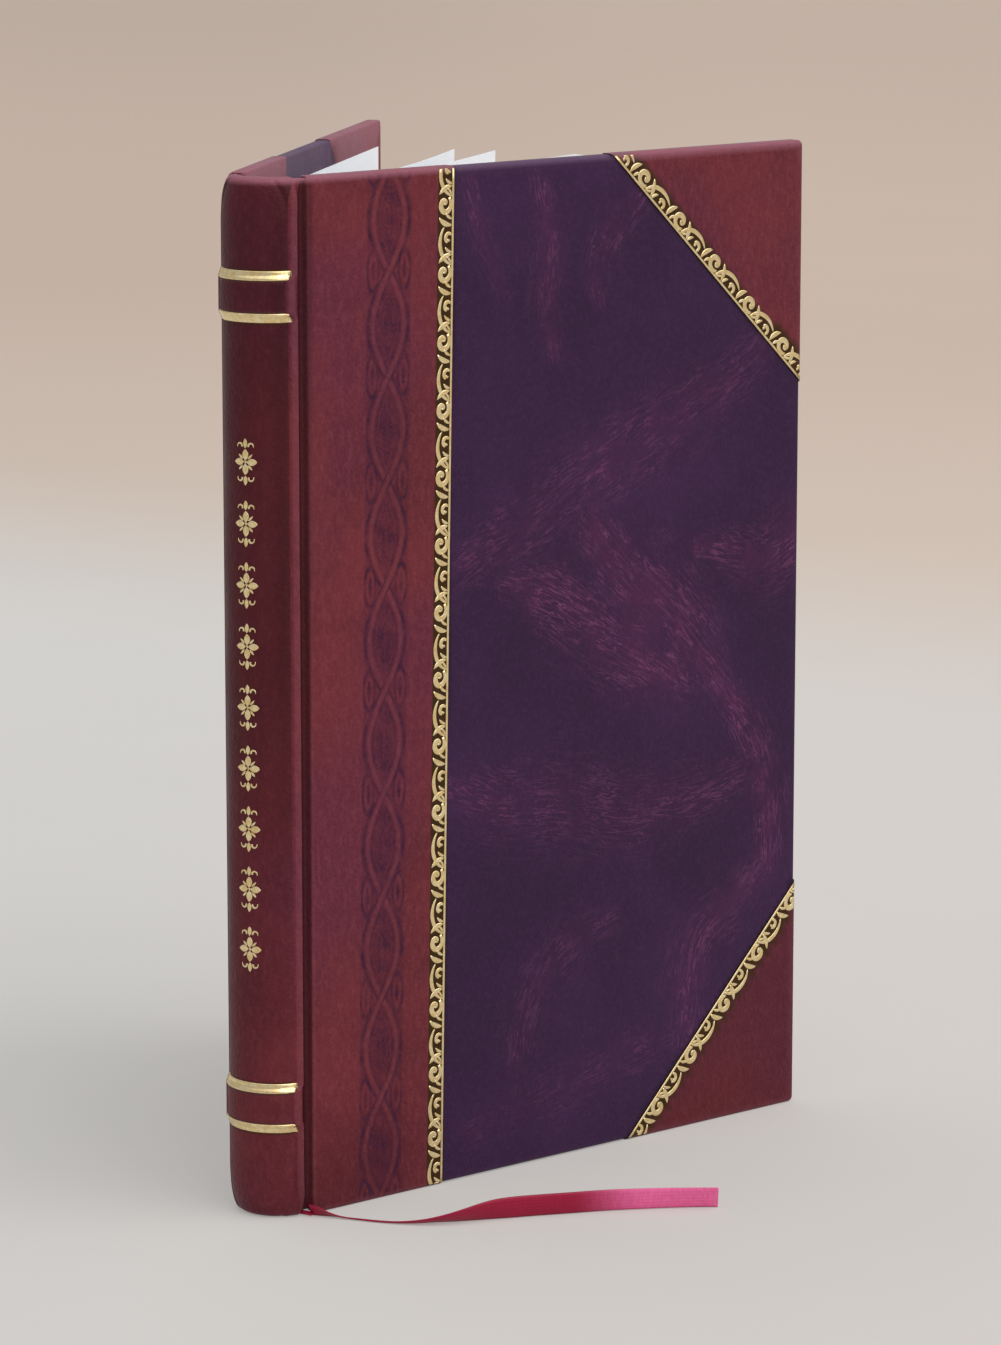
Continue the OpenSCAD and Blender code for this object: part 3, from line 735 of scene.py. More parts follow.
def strip_values(side, y, z, along, depth):
    """What the tools and the brown ground of the roll leave on a strip, with its wear, painted
    highlights and painted shade.
    """
    tool, ground, wear_and_highlight = np.zeros_like(z), np.zeros_like(z), np.zeros_like(z)
    a, b = VINE_AT, REST_AT
    height = z[:OUTER_ROWS, a:b]
    across = (VINE_FROM + VINE_TO) / 2 - VINE_BACK + 0 * height
    tool[:OUTER_ROWS, a:b], raised = vine(height, across, 1.3 + side)
    # The stems that stand up get a painted highlight.
    wear_and_highlight[:OUTER_ROWS, a:b] = 0.07 * raised
    a = BOARD_AT
    back = border(z)[:, a:] - along
    ground[:, a:] = (back < ROLL_W + 0.1) & (depth[:, a:] < OUTSIDE)
    # The corner of the flank and the edge of the board get a painted highlight.
    wear_and_highlight[:, FLANK_AT - 7:FLANK_AT] = 0.16
    wear_and_highlight[:, a:a + 3] = 0.1
    wear_and_highlight = np.maximum(wear_and_highlight, rim_highlight(z))
    # Painted shade darkens the groove, and the foot of the strip beside it near the tail.
    start, end = FLANK_AT + 1 + 11 * z / COVER_H, a - 1 + 5 * z / COVER_H
    groove_shade = smooth(COLUMN - start, 0, 3) * smooth(end - COLUMN, -1, 2)
    groove_shade *= 1.05 - 0.25 * smooth(COLUMN, GROOVE_AT + 9, GROOVE_AT + 13)
    foot = 0.36 * smooth(28 - z, 0, 24)
    foot[:, a:] *= smooth(40 - along, 0, 36)
    painted_shade = np.maximum.reduce([spine_panel_shade(y, z) * (COLUMN < FLANK_AT), groove_shade, foot])
    return {"tool": tool, "ground": ground, "wear_and_highlight": wear_and_highlight, "painted_shade": painted_shade * (1 - 0.7 * wear_and_highlight)}


def strip_leather(side):
    """One skin from the back of the spine, down the groove and out over the cover."""
    depth, z = strip_rows()
    x, y, along = strip_section(side, z)
    values = strip_values(side, y, z, along, depth)
    dx, dy = np.gradient(x, axis=1), np.gradient(y, axis=1)
    inward = (depth + TOOL_DEPTH * values["tool"]) / np.hypot(dx, dy)
    rings = row(np.stack([x + dy * inward, side * (y - dx * inward), z], -1)).transpose(1, 0, 2)
    obj = make(NAME[side] + "_leather_skin", tube(rings), red_leather, "red_leather",
               node=NAME[side] + "_leather", sharp=LEATHER_SHARP,
               values={key: data.T for key, data in values.items()})
    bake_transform(obj)


spine_skin()
for side in (FRONT, REAR):
    strip_leather(side)

# Siding and corners


def outline(shrink, drop):
    """The outline of a cover drawn in by drop, with shrink taken off its size before."""
    right, top = COVER_W - shrink, COVER_H - shrink
    r = CORNER_R - shrink
    reach, bend_r = max(r, drop), max(r - drop, 0)
    edge_x = [min(x, right - reach) for x in np.arange(20, COVER_W - 6, 2.0)]
    edge_z = [min(max(z, shrink + reach), top - reach) for z in np.arange(6, COVER_H - 5, 3.0)]

    def bend(z, degrees):
        return [(right - reach + bend_r * math.cos(t), z + bend_r * math.sin(t))
                for t in np.radians(np.linspace(degrees, degrees + 90, 7))]

    tail = [(x, shrink + drop) for x in edge_x] + bend(shrink + reach, -90)
    head = bend(top - reach, 0) + [(x, top - drop) for x in edge_x[::-1]]
    return tail + [(right - drop, z) for z in edge_z] + head


def tray(thick, spacing):
    """The covering of a whole cover in flat coordinates: x from the hinge, y inward and z up.
    spacing is that of the points on its face."""
    shrink = LEATHER - thick
    edge_out, edge_in = COVER_BEND
    profile = [(edge_out * (1 - math.sin(t)), shrink + edge_out * (1 - math.cos(t)))
               for t in np.radians([0, 18, 36, 54, 72, 90])]
    profile += [(edge_in * (1 - math.cos(t)), TURN_FAR - edge_in * (1 - math.sin(t)))
                for t in np.radians([0, 30, 60, 90])]
    profile += [(TURN_IN - shrink, TURN_FAR), (TURN_IN - shrink, BOARD_FAR),
                (thick, BOARD_FAR), (thick, LEATHER)]
    bm = bmesh.new()
    rings = []
    for drop, q in profile:
        rings.append([bm.verts.new((x, q, z)) for x, z in outline(shrink, drop)])
    n = len(rings[0])
    for one, two in zip(rings, rings[1:]):
        for i in range(n):
            k = (i + 1) % n
            bm.faces.new((one[i], one[k], two[k], two[i]))
    bm.faces.new(rings[-1])
    rim = [Vector((v.co.x, v.co.z)) for v in rings[0]]
    inner = [Vector((x, z)) for x in np.arange(21, COVER_W - 2, spacing)
             for z in np.arange(2, COVER_H - 1.5, spacing)]
    verts, _, faces, *_ = delaunay_2d_cdt(rim + inner, [], [list(range(n))], 1, 1e-5)
    top = [bm.verts.new((v.x, shrink, v.y)) for v in verts]
    for f in faces:
        bm.faces.new([top[i] for i in f])
    bmesh.ops.remove_doubles(bm, verts=bm.verts, dist=1e-4)
    bmesh.ops.dissolve_degenerate(bm, edges=bm.edges, dist=1e-5)
    return bm


def cut(bm, point, normal):
    """Takes away what lies on the normal's side of a plane, and closes the cut."""
    geom = list(bm.verts) + list(bm.edges) + list(bm.faces)
    found = bmesh.ops.bisect_plane(bm, geom=geom, dist=1e-6, plane_co=point, plane_no=normal,
                                   clear_outer=True)
    edges = [e for e in found["geom_cut"] if isinstance(e, bmesh.types.BMEdge)]
    bmesh.ops.holes_fill(bm, edges=edges, sides=0)


# The planes between the leather and the siding, each with its normal to the leather.
EDGES = {
    "gold": ((STRIP_TAIL, 0, 0), (-COVER_H, 0, STRIP_HEAD - STRIP_TAIL)),
    "head": ((COVER_W - HEAD_CORNER[0], 0, COVER_H), (HEAD_CORNER[1], 0, HEAD_CORNER[0])),
    "tail": ((COVER_W - TAIL_CORNER[0], 0, 0), (TAIL_CORNER[1], 0, -TAIL_CORNER[0])),
}


def flip(plane):
    """The same plane, facing the other way."""
    return plane[0], tuple(-v for v in plane[1])


def from_plane(plane, x, z):
    """Distance from a plane, on the side of its normal."""
    (px, _, pz), (nx, _, nz) = plane
    return ((x - px) * nx + (z - pz) * nz) / math.hypot(nx, nz)


# The magenta streaks on the siding, given as points: along the cover, up it and half width at each
# point, and at the end the strength of the streak.
STREAKS = [
    [(45, 137, 3), (66, 145, 5), (94, 158, 5), (124, 172, 3), (132, 177, 2), 0.55],
    [(80, 141, 3), (90, 130, 5), (101, 121, 6), (112, 110, 4), (119, 101, 2), (128, 89, 2.5),
     (133, 74, 3), (134, 58, 2), 1.0],
    [(57, 131, 2), (68, 127, 4), (80, 120, 5), (94, 112, 6), (104, 106, 4), 0.9],
    [(112, 133, 1.5), (123, 130, 3), (132, 128, 4), (143, 133, 5), 0.85],
    [(40, 88, 2), (54, 83, 5), (71, 81, 5), (88, 76, 5), (109, 76, 4), (126, 79, 3), 0.45],
    [(109, 22, 3), (110, 34, 4), (114, 44, 4), (125, 51, 3), (133, 58, 2), 0.7],
    [(59, 18, 2), (60, 31, 3), (65, 40, 4), (75, 49, 3), (84, 52, 2), 0.3],
    [(45, 10, 2), (65, 14, 3), (101, 22, 3), (119, 24, 2), 0.28],
    [(65, 217, 1.4), (68, 204, 2.4), (67, 192, 2.2), (69, 180, 1.2), 0.65],
    [(94, 213, 2), (86, 206, 2.6), (81, 198, 2), (82, 190, 1), 0.55],
    [(45, 219, 1.1), (49, 206, 1.4), (55, 194, 1.1), 0.6],
]


def streaks_at(x, z):
    """Strength of the strongest streak at each place, and the place along and across it."""
    best, flow_along, flow_across = np.zeros_like(x), 0.3 * x, 0.3 * z
    for k, (*points, strength) in enumerate(STREAKS):
        line = catmull(points, 10)
        run = np.concatenate([[0], np.cumsum(np.hypot(*np.diff(line[:, :2], axis=0).T))])
        step = np.gradient(line[:, :2], axis=0)
        step /= np.hypot(*step.T)[:, None]
        away = np.hypot(x[:, None] - line[:, 0], z[:, None] - line[:, 1])
        i = np.argmin(away, 1)
        dx, dz = x - line[i, 0], z - line[i, 1]
        along = run[i] + dx * step[i, 0] + dz * step[i, 1]
        across = dz * step[i, 0] - dx * step[i, 1]
        weight = strength * np.exp(-(away[np.arange(len(x)), i] / (1.5 * line[i, 2])) ** 2)
        stronger = weight > best
        best = np.where(stronger, weight, best)
        flow_along = np.where(stronger, along + 60 * k, flow_along)
        flow_across = np.where(stronger, across, flow_across)
    return best, flow_along, flow_across


def flat_mesh(name, bm):
    """The mesh of a bmesh in a cover's flat coordinates, and those coordinates."""
    bmesh.ops.recalc_face_normals(bm, faces=bm.faces)
    mesh = bpy.data.meshes.new(name)
    bm.to_mesh(mesh)
    bm.free()
    co = np.zeros(len(mesh.vertices) * 3)
    mesh.vertices.foreach_get("co", co)
    return mesh, co.reshape(-1, 3).T


def put_on_cover(side, mesh, flat, material, slot, node, sharp=None):
    """Moves a flat mesh to its place on a cover, as a finished piece."""
    mesh.vertices.foreach_set("co", on_cover(side, *flat).ravel().astype(np.float32))
    if side == REAR:
        mesh.flip_normals()
    mesh.shade_smooth()
    add_piece(mesh, material, slot, node, BODY[side], sharp)


def edge_wear_and_highlight(x, z):
    """Paleness of the edges of a cover: wear along all of them, and the painted highlight of the
    rim.
    """
    edge = np.minimum(COVER_W - x, from_end(z))
    return np.maximum(rim_highlight(z), 0.25 * smooth(1.3 - edge, 0, 0.9))


def siding(side):
    """The siding of a cover, with a painted shadow where it meets the leather."""
    bm = siding_tray.copy()
    for plane in EDGES.values():
        cut(bm, *plane)
    name = NAME[side] + "_siding"
    mesh, (x, q, z) = flat_mesh(name + "_skin", bm)
    away = np.minimum.reduce([-from_plane(plane, x, z) for plane in EDGES.values()])
    # The rear cover has the streaks of the front one, turned round on the siding.
    turned = (x, z) if side == FRONT else (STRIP_TAIL + 1 + COVER_W - x, COVER_H - z)
    vein, flow_along, flow_across = streaks_at(*turned)
    # A painted shadow darkens the siding along the edge of the leather.
    set_values(mesh, {
        "wear_and_highlight": edge_wear_and_highlight(x, z), "painted_shade": 0.8 * smooth(0.55 - away, 0, 0.45) * (q < OUTSIDE),
        "vein": vein, "flow_along": flow_along, "flow_across": flow_across})
    put_on_cover(side, mesh, (x, q, z), siding_paint, "purple_siding", name, LEATHER_SHARP)


def corner(side, end):
    """A leather corner of a cover, brown under its roll, with painted shade on the tail corner."""
    bm = corner_tray.copy()
    cut(bm, *flip(EDGES[end]))
    name = f"{NAME[side]}_{end}_corner"
    mesh, (x, q, z) = flat_mesh(name + "_skin", bm)
    under_roll = (from_plane(EDGES[end], x, z) < ROLL_W + 0.1) & (q < OUTSIDE)
    # The tail corner is darkened by painted shade.
    set_values(mesh, {"wear_and_highlight": edge_wear_and_highlight(x, z), "ground": under_roll,
                      "painted_shade": np.full_like(x, 0.4 if end == "tail" else 0.0)})
    put_on_cover(side, mesh, (x, q, z), red_leather, "red_leather", name, LEATHER_SHARP)


# The points of the siding lie closer together, for its streaks.
siding_tray = tray(SIDING, 1.3)
corner_tray = tray(LEATHER, 2.2)
for side in (FRONT, REAR):
    siding(side)
    corner(side, "head")
    corner(side, "tail")
siding_tray.free()
corner_tray.free()

# Gold

# How far the foil stands out of the leather, and how far its edges reach in.
GOLD_UP, GOLD_SINK = 0.07, 0.03


def stroke(points, widths, place, rise):
    """A low rounded bar along points in a plane. place(x, y, up) puts a point in space."""
    step = np.gradient(points, axis=0)
    step /= np.linalg.norm(step, axis=1)[:, None]
    side = np.stack([-step[:, 1], step[:, 0]], -1)
    across = np.array([-1, -0.8, -0.35, 0.35, 0.8, 1, 1, -1])
    up = np.append(rise * np.array([0.35, 0.9, 1, 1, 0.9, 0.35]), [-GOLD_SINK, -GOLD_SINK])
    flat = points[:, None] + side[:, None] * (across[None, :, None] * widths[:, None, None] / 2)
    x, y = flat[..., 0], flat[..., 1]
    return tube(place(x, y, up + 0 * x))


def swirl(middle, r, w, start, end, steps):
    """Points and widths of a stroke that winds round a middle, as in part.scad."""
    t = np.linspace(0, 1, steps + 1)
    a = np.radians(start + (end - start) * t)
    reach = r[0] + (r[1] - r[0]) * t
    wide = w[0] * (1 - t) ** 2 + 2 * w[1] * t * (1 - t) + w[2] * t * t
    return np.stack([middle[0] + reach * np.cos(a), middle[1] + reach * np.sin(a)], -1), wide


def leaf_stroke(start, end, bow, width, steps=8):
    """A slim leaf between two points, bowed to one side."""
    start, end = np.asarray(start, float), np.asarray(end, float)
    t = np.linspace(0, 1, steps + 1)[:, None]
    d = end - start
    side = np.array([-d[1], d[0]]) / np.linalg.norm(d)
    points = start + d * t + side * bow * 4 * t * (1 - t)
    return points, 0.12 + (width - 0.12) * np.sin(np.pi * t[:, 0]) ** 0.8


# One repeat of the roll, drawn 12.4 mm long and stretched to its real length. The line on the
# siding side fills what ROLL_LINE leaves of the width.
ROLL_STEP = 14.5
ROLL_STRETCH = ROLL_STEP / 12.4
ROLL_LINE = 0.87
ROLL_BOLD = 1.2
# The rolls stop this far inside the edges of their cover.
ROLL_MARGIN = 0.5


def roll_strokes():
    """One repeat of the roll: a scroll with a round end on the leather side, a smaller one on
    the siding side, and the long leaves that join them."""
    marks = [
        swirl([3.1, 1.75], [0.75, 1.75], [0.75, 1.5, 0.55], 10, -320, 22),
        swirl([3.55, 1.75], [0.05, 0.35], [0.9, 1.0, 0.7], 200, -20, 6),
        swirl([8.8, 4.6], [4.3, 4.0], [0.2, 1.5, 0.2], -172, -48, 12),
        swirl([9.3, 2.75], [0.5, 1.15], [0.6, 1.0, 0.45], 200, 410, 12),
        swirl([9.15, 2.85], [0.05, 0.2], [0.6, 0.7, 0.5], 90, 320, 5),
        leaf_stroke([6.5, 3.7], [5.0, 0.15], 0.35, 0.95),
        leaf_stroke([6.9, 3.7], [7.8, 1.9], -0.2, 0.6),
        leaf_stroke([11.8, 3.7], [13.2, 0.15], -0.4, 1.0),
        leaf_stroke([12.9, 3.7], [14.0, 1.9], -0.15, 0.6),
        leaf_stroke([4.9, 3.5], [6.1, 2.4], 0.15, 0.5),
    ]
    return [(p * [ROLL_STRETCH, 1], w * ROLL_BOLD) for p, w in marks]


def roll(side, which):
    """A gold roll along the strip or across a corner, in flat coordinates first."""
    (x0, _, z0), (nx, _, nz) = EDGES[which]
    length = math.hypot(nx, nz)
    over = np.array([nx, nz]) / length
    # It starts at the end of its line that is nearer to the hinge.
    along = np.array([over[1], -over[0]]) * np.sign(over[1])

    def place(s, v, up):
        flat = [x0, z0] + s[..., None] * along + (ROLL_W - v)[..., None] * over
        return np.stack([flat[..., 0], -up, flat[..., 1]], -1)

    marks, parts = roll_strokes(), []
    for i in range(int(length / ROLL_STEP) + 2):
        for k, (points, widths) in enumerate(marks):
            points = points + [(i - 0.5) * ROLL_STEP, 0]
            if points[:, 0].max() > -1 and points[:, 0].min() < length + 1:
                parts.append(stroke(points, widths, place, GOLD_UP + 0.004 * k))
    s = np.arange(-1, length + 2, 4.0)
    line = np.stack([s, np.full_like(s, ROLL_W * (1 + ROLL_LINE) / 2)], -1)
    parts.append(stroke(line, np.full_like(s, ROLL_W * (1 - ROLL_LINE)), place, GOLD_UP + 0.05))
    verts, faces = join_meshes(parts)
    sketch = bpy.data.meshes.new("sketch")
    sketch.from_pydata(verts.tolist(), [], faces)
    bm = bmesh.new()
    bm.from_mesh(sketch)
    bpy.data.meshes.remove(sketch)
    cut(bm, (0, 0, COVER_H - ROLL_MARGIN), (0, 0, 1))
    cut(bm, (0, 0, ROLL_MARGIN), (0, 0, -1))
    cut(bm, (COVER_W - ROLL_MARGIN, 0, 0), (1, 0, 0))
    name = f"{NAME[side]}_{which}_roll"
    put_on_cover(side, *flat_mesh(name + "_foil", bm), gold_paint, "gold", name)


for side in (FRONT, REAR):
    for which in EDGES:
        roll(side, which)


def spine_lines():
    """The rounded gold lines on both sides of each raised band."""
    across = np.linspace(-1, 1, 13)
    up = 0.03 + 0.2 * np.sqrt(1 - across**2)
    y = np.linspace(-FILLET_REACH, FILLET_REACH, 61)[:, None]
    parts = []
    for m in BAND_Z:
        for k in (-1, 1):
            z = m + k * FILLET_OFFSET + across * FILLET_W / 2
            top, foot = on_spine(y, z, up), on_spine(y, z[[-1, 0]], -0.05)
            parts.append(tube(np.concatenate([top, foot], 1)))
    make("spine_gold_lines_foil", join_meshes(parts), gold_paint, "gold",
         node="spine_gold_lines", body=BLOCK)


ORNAMENT_STEP, ORNAMENT_N = 13.0, 9


def ornament():
    """Strokes of a flower with four leaves, and of a bud between scrolls above and below it."""
    def ray(degrees, near, far, width, steps):
        c, s = math.cos(math.radians(degrees)), math.sin(math.radians(degrees))
        return leaf_stroke([near * c, near * s], [far * c, far * s], 0, width, steps)

    marks = []
    for degrees in (0, 90, 180, 270):
        marks += [ray(degrees, 0.35, 2.7, 1.5, 10), ray(degrees + 45, 0.9, 2.3, 0.5, 6)]
    for k in (-1, 1):
        marks.append(leaf_stroke([0, 2.9 * k], [0, 4.9 * k], 0, 1.0, 8))
        for j in (-1, 1):
            marks.append(swirl([1.25 * j, 3.35 * k], [0.75, 0.45], [0.15, 0.5, 0.45],
                               90 - 90 * j - 20 * j * k, 90 - 90 * j + 200 * j * k, 8))
    return marks + [swirl([0, 0], [0.1, 0.12], [0.5, 0.5, 0.5], 0, 300, 6)]


def spine_ornaments():
    """A row of ornaments, in the place of a title."""
    marks, parts = ornament(), []
    for i in range(ORNAMENT_N):
        mid = COVER_H / 2 + (i - (ORNAMENT_N - 1) / 2) * ORNAMENT_STEP
        parts += [stroke(points + [0, mid], widths, on_spine, 0.08) for points, widths in marks]
    make("spine_ornaments_foil", join_meshes(parts), gold_paint, "gold",
         node="spine_ornaments", body=BLOCK)


spine_lines()
spine_ornaments()

# Paper


def sheet_mesh(front, back):
    """A thin closed sheet between two grids of points."""
    n, m = front.shape[:2]
    i, j = grid(np.arange(n - 1), np.arange(m - 1))
    quad = np.stack([i * m + j, i * m + j + 1, (i + 1) * m + j + 1, (i + 1) * m + j], -1)
    quad = quad.reshape(-1, 4)
    faces = quad.tolist() + (quad[:, ::-1] + n * m).tolist()
    rim = [i * m for i in range(n)] + [(n - 1) * m + j for j in range(1, m)]
    rim += [i * m + m - 1 for i in range(n - 2, -1, -1)] + list(range(m - 2, 0, -1))
    for a, b in zip(rim, rim[1:] + rim[:1]):
        faces.append([a, b, b + n * m, a + n * m])
    return np.concatenate([front.reshape(-1, 3), back.reshape(-1, 3)]), faces


def paper(name, front, back, **given):
    """A sheet of paper between two grids of points in the row frame."""
    return make(name, sheet_mesh(front, back), paper_paint, "paper", sharp=PAPER_SHARP, **given)


PASTE_NEAR = GROOVE_R + LEATHER
PASTE_W = PAGE_W - SETBACK + 1


def pastedown(side):
    """The half of an endpaper that is pasted over the board and the turn-ins."""
    aa, zz = grid(
        np.concatenate([np.linspace(PASTE_NEAR, PASTE_W - 16, 40),
                        np.linspace(PASTE_W - 15, PASTE_W, 30)]),
        np.concatenate([np.linspace(PAGE_LOW, 17, 24), np.linspace(18, 204, 50),
                        np.linspace(205, PAGE_HIGH, 24)]))
    edge = np.minimum(COVER_W - aa, from_end(zz))
    q = PASTE_FAR - 0.22 * smooth(edge, TURN_IN - 0.3, TURN_IN + 0.9)
    q = q + 0.02 * np.sin(aa * 0.11 + 1) * np.sin(zz * 0.07)
    under = np.where(edge < TURN_IN, TURN_FAR + 0.01, BOARD_FAR + 0.01)
    paper(NAME[side] + "_pastedown_sheet", on_cover(side, aa, q, zz),
          on_cover(side, aa, under, zz), node=NAME[side] + "_pastedown", body=BODY[side])


def endpaper_fold(side):
    """The fold of an endpaper, from the pages across the joint to the board."""
    leaf_edge = np.array([-SETBACK + 0.1, side * (PAGES_T / 2 + PAPER / 2)])
    paste_edge = book_on_cover(side, PASTE_NEAR + 0.3, PASTE_FAR - 0.1, 0)[:2]
    hinge = np.array([0, side * HINGE_Y])
    (x0, y0), (x1, y1) = leaf_edge - hinge, paste_edge - hinge
    turn, z = grid(np.linspace(math.atan2(y0, x0), math.atan2(y1, x1), 17),
                   np.linspace(PAGE_LOW, PAGE_HIGH, 24))
    reach = np.linspace(math.hypot(x0, y0), math.hypot(x1, y1), 17)[:, None]
    front, back = (row(np.stack([(reach + off) * np.cos(turn),
                                 hinge[1] + (reach + off) * np.sin(turn), z], -1))
                   for off in (-PAPER / 2, PAPER / 2))
    obj = paper(NAME[side] + "_endpaper_fold", front, back)
    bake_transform(obj)


for side in (FRONT, REAR):
    pastedown(side)
    endpaper_fold(side)


def bent_leaf(name, node, root, start, end, close_y, seed):
    """A leaf that stands away from the pages, from its angle at the root to its angle at the
    fore edge. close_y is where it would lie on the pages as the cover closes."""
    start, end = math.radians(start), math.radians(end)
    r = PAGE_W / (2 * math.sin(end - start))
    turn, zz = grid(start + np.linspace(0, 2 * (end - start), 56),
                    np.linspace(PAGE_LOW, PAGE_HIGH, 44))
    reach = (turn - start) / (2 * (end - start))
    lift = (zz - PAGE_LOW) / (PAGE_HIGH - PAGE_LOW)
    wave = 0.35 * reach**2 * np.sin(3.1 * lift + seed)
    front, back = (np.stack([root[0] - r * math.sin(start) + rr * np.sin(turn),
                             root[1] + r * math.cos(start) - rr * np.cos(turn) + wave, zz], -1)
                   for rr in (r, r - PAPER))
    obj = paper(name, row(front), row(back), node=node)
    # The share of the cover's turn that lays each part of the leaf on the pages, measured half
    # way up and not right beside the root.
    mid = front[4:, zz.shape[1] // 2, :2]
    rel = mid - [0, HINGE_Y]
    now = np.arctan2(rel[:, 1], rel[:, 0])
    then = np.arcsin((close_y - HINGE_Y) / np.hypot(*rel.T))
    share = np.clip((now - then) / OPEN[REAR], 0, 1)
    t = np.linspace(0, 1, 2001)
    t = np.interp(share, smooth(t, 0, 1), t)
    table = np.stack([np.ones(len(t)), *mid.T], -1)
    base, *g = np.linalg.lstsq(table, t, rcond=None)[0]
    g = np.array(g)
    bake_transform(obj)


bent_leaf("loose_leaf_sheet", "loose_leaf", (-SETBACK, PAGES_T / 2), 2.5, 8.6,
          PAGES_T / 2 + PAPER, 1.0)
bent_leaf("rear_flyleaf_sheet", "rear_flyleaf", (-SETBACK, PAGES_T / 2 + PAPER + 0.05), 5, 12.7,
          PAGES_T / 2 + 2 * PAPER, 2.2)

# Pages

LEAVES = 49
# The lines between leaves, and the deeper one after every eighth leaf.
LINE_DEEP, GAP_DEEP, GAP_EVERY = 0.05, 0.12, 8


def text_block():
    """The pages as one solid with a round back, its leaves a little uneven."""
    rng = np.random.default_rng(7)
    back_r = ((PAGES_T / 2) ** 2 + PAGE_ROUND**2) / (2 * PAGE_ROUND)
    rings, gap_shade = [], []
    pitch = PAGES_T / LEAVES
    for i in range(LEAVES):
        lo = -PAGES_T / 2 + i * pitch
        fore, top = rng.uniform(-0.05, 0.05), rng.uniform(-0.035, 0.035)
        deep = GAP_DEEP if i % GAP_EVERY == GAP_EVERY - 1 else LINE_DEEP
        if i == LEAVES - 1:
            deep = 0.0
        for y, inset in ((lo + 0.03, 0), (lo + pitch - 0.03, 0), (lo + pitch, deep)):
            y = min(y, PAGES_T / 2)
            x0 = -SETBACK - PAGE_ROUND + back_r - math.sqrt(back_r**2 - y * y)
            x1 = x0 + PAGE_W + fore - inset
            z0, z1 = PAGE_LOW + inset - top, PAGE_HIGH - inset + top
            xs = [x0 + (x1 - x0) * f for f in (0, 0.33, 0.66, 1)]
            ring = [(x, y, z0) for x in xs] + [(x1, y, (z0 + z1) / 2)]
            rings.append(ring + [(x, y, z1) for x in xs[::-1]])
            # The inset lines between leaves carry painted shade.
            gap_shade.append([1.0 if inset else 0.0] * len(rings[-1]))
    obj = make("text_block_pages", tube(row(rings)), edges_paint, "paper", node="text_block",
               body=BLOCK, flat=True, values={"leaf": gap_shade})
    # The outermost leaves show their faces, not their edges.
    obj.data.materials.append(paper_paint)
    for face in obj.data.polygons[-2:]:
        face.material_index = 1


def front_flyleaf():
    """The free half of the front endpaper, which lies on the pages."""
    y = -PAGES_T / 2
    aa, zz = grid(np.linspace(-SETBACK, PAGE_W - SETBACK, 40),
                  np.linspace(PAGE_LOW, PAGE_HIGH, 30))
    bend = np.abs(0.03 * np.sin(aa * 0.05) * np.sin(zz * 0.04))
    paper("front_flyleaf_sheet", row(np.stack([aa, y - PAPER - bend, zz], -1)),
          row(np.stack([aa, np.full_like(aa, y - 0.01), zz], -1)),
          node="front_flyleaf", body=BLOCK)


text_block()
front_flyleaf()

# Carried CAD nodes

PLAIN = {
    "ribbon_marker": ribbon_paint, "headband": thread_paint, "tailband": thread_paint,
    "spine_lining": cloth_paint, "spine_inlay": card_paint, "head_raised_band": card_paint,
    "tail_raised_band": card_paint, "front_board": board_paint, "rear_board": board_paint,
}
for node, material in PLAIN.items():
    mesh = frame["nodes"][node].data
    mesh.materials.clear()
    mesh.materials.append(material)

# Stage and light

# The share of the floor's colour that is its own light, and how brightly the lamps light it.
FLOOR_GLOW, FLOOR_LIGHT = 0.4, 1.1
# Half its side, in metres.
FLOOR_HALF = 9


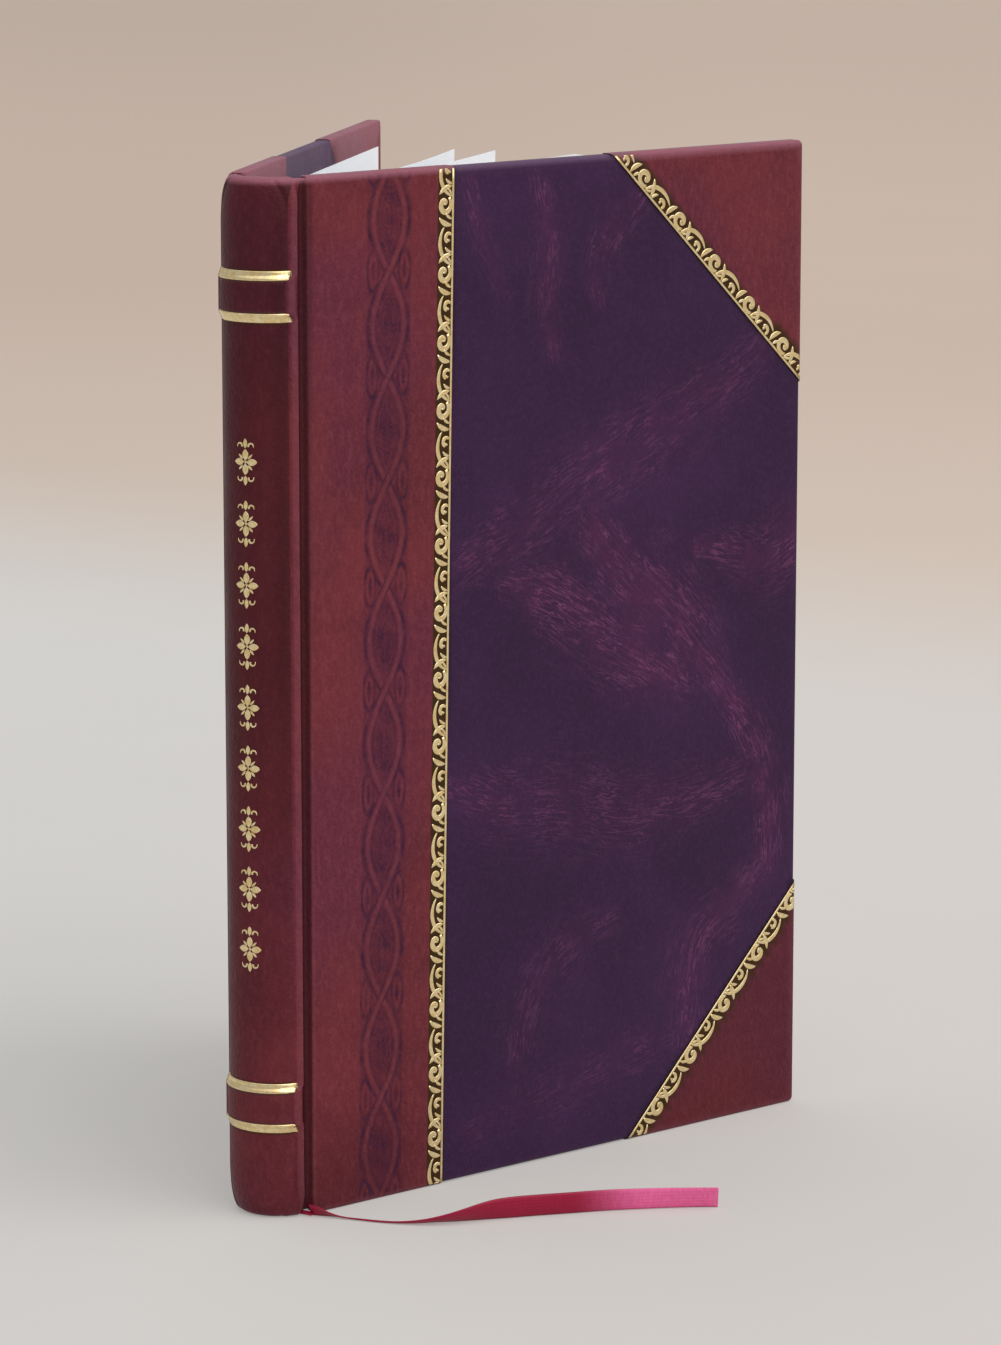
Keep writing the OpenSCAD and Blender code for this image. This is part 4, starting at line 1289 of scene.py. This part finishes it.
def floor_paint():
    """A pale table, and a beige cloth behind it that darkens a little with distance and to the
    left."""
    p = Paint("floor_paint", roughness=0.9, specular=0.15)
    x, y, _ = p.node("ShaderNodeSeparateXYZ", {0: p.place})
    leftward = p.math("SUBTRACT", p.math("MULTIPLY", y, 0.844), p.math("MULTIPLY", x, 0.503))
    cloth = p.mix(p.span(x, 0.6, 1.5), srgb(205, 189, 176), srgb(195, 176, 161))
    cloth = p.mix(p.span(x, 1.5, 3.6), cloth, srgb(187, 169, 155))
    cloth = p.mix(p.span(leftward, -0.25, 0.25, 0.0, 0.11), cloth, srgb(110, 98, 88))
    # The table is a touch darker to the left: painted shadow.
    table = p.mix(p.span(leftward, -0.1, 0.1), srgb(208, 203, 199), srgb(205, 203, 200))
    ground = p.mix(p.span(x, 0.46, 0.84), table, cloth)
    ground = p.tint(ground, p.noise(6, 5, 0.65), 0.16, srgb(172, 168, 164))
    # For the camera and for reflections alone, part of the floor's colour is its own light, so
    # that the shadows on it stay as pale as the photograph's.
    path = p.node("ShaderNodeLightPath")
    seen = p.math("ADD", path["Is Camera Ray"],
                  p.math("ADD", path["Is Glossy Ray"], path["Is Transmission Ray"], True), True)
    p.feed(p.shader, {"Emission Color": ground,
                      "Emission Strength": p.math("MULTIPLY", seen, FLOOR_GLOW * FLOOR_LIGHT)})
    return p.finish(p.mix(p.math("MULTIPLY", seen, FLOOR_GLOW), ground, (0, 0, 0, 1)))


floor_mesh = bpy.data.meshes.new("floor")
floor_mesh.from_pydata([(x * FLOOR_HALF, y * FLOOR_HALF, 0) for x, y in (
    (-1, -1), (1, -1), (1, 1), (-1, 1))], [], [(0, 1, 2, 3)])
floor_mesh.materials.append(floor_paint())
floor = bpy.data.objects.new("floor", floor_mesh)
bpy.context.scene.collection.objects.link(floor)

world = bpy.data.worlds.new("studio")
bpy.context.scene.world = world
world.use_nodes = True
sky = world.node_tree.nodes["Background"]
sky.inputs["Color"].default_value = srgb(246, 246, 248)
sky.inputs["Strength"].default_value = 0.5


def soft_light(name, direction, strength, spread, color):
    """A very wide, distant light from a direction."""
    data = bpy.data.lights.new(name, "SUN")
    data.energy = strength
    data.angle = math.radians(spread)
    data.color = color
    lamp = bpy.data.objects.new(name, data)
    lamp.rotation_euler = Vector(direction).to_track_quat("Z", "Y").to_euler()
    lamp.location = Vector(direction)
    bpy.context.scene.collection.objects.link(lamp)


soft_light("window", (-0.05, -0.75, 0.66), 1.5, 75, (1, 0.985, 0.96))
soft_light("ceiling", (0, 0, 1), 0.9, 90, (1, 1, 1))

bpy.context.scene.view_settings.view_transform = "Standard"
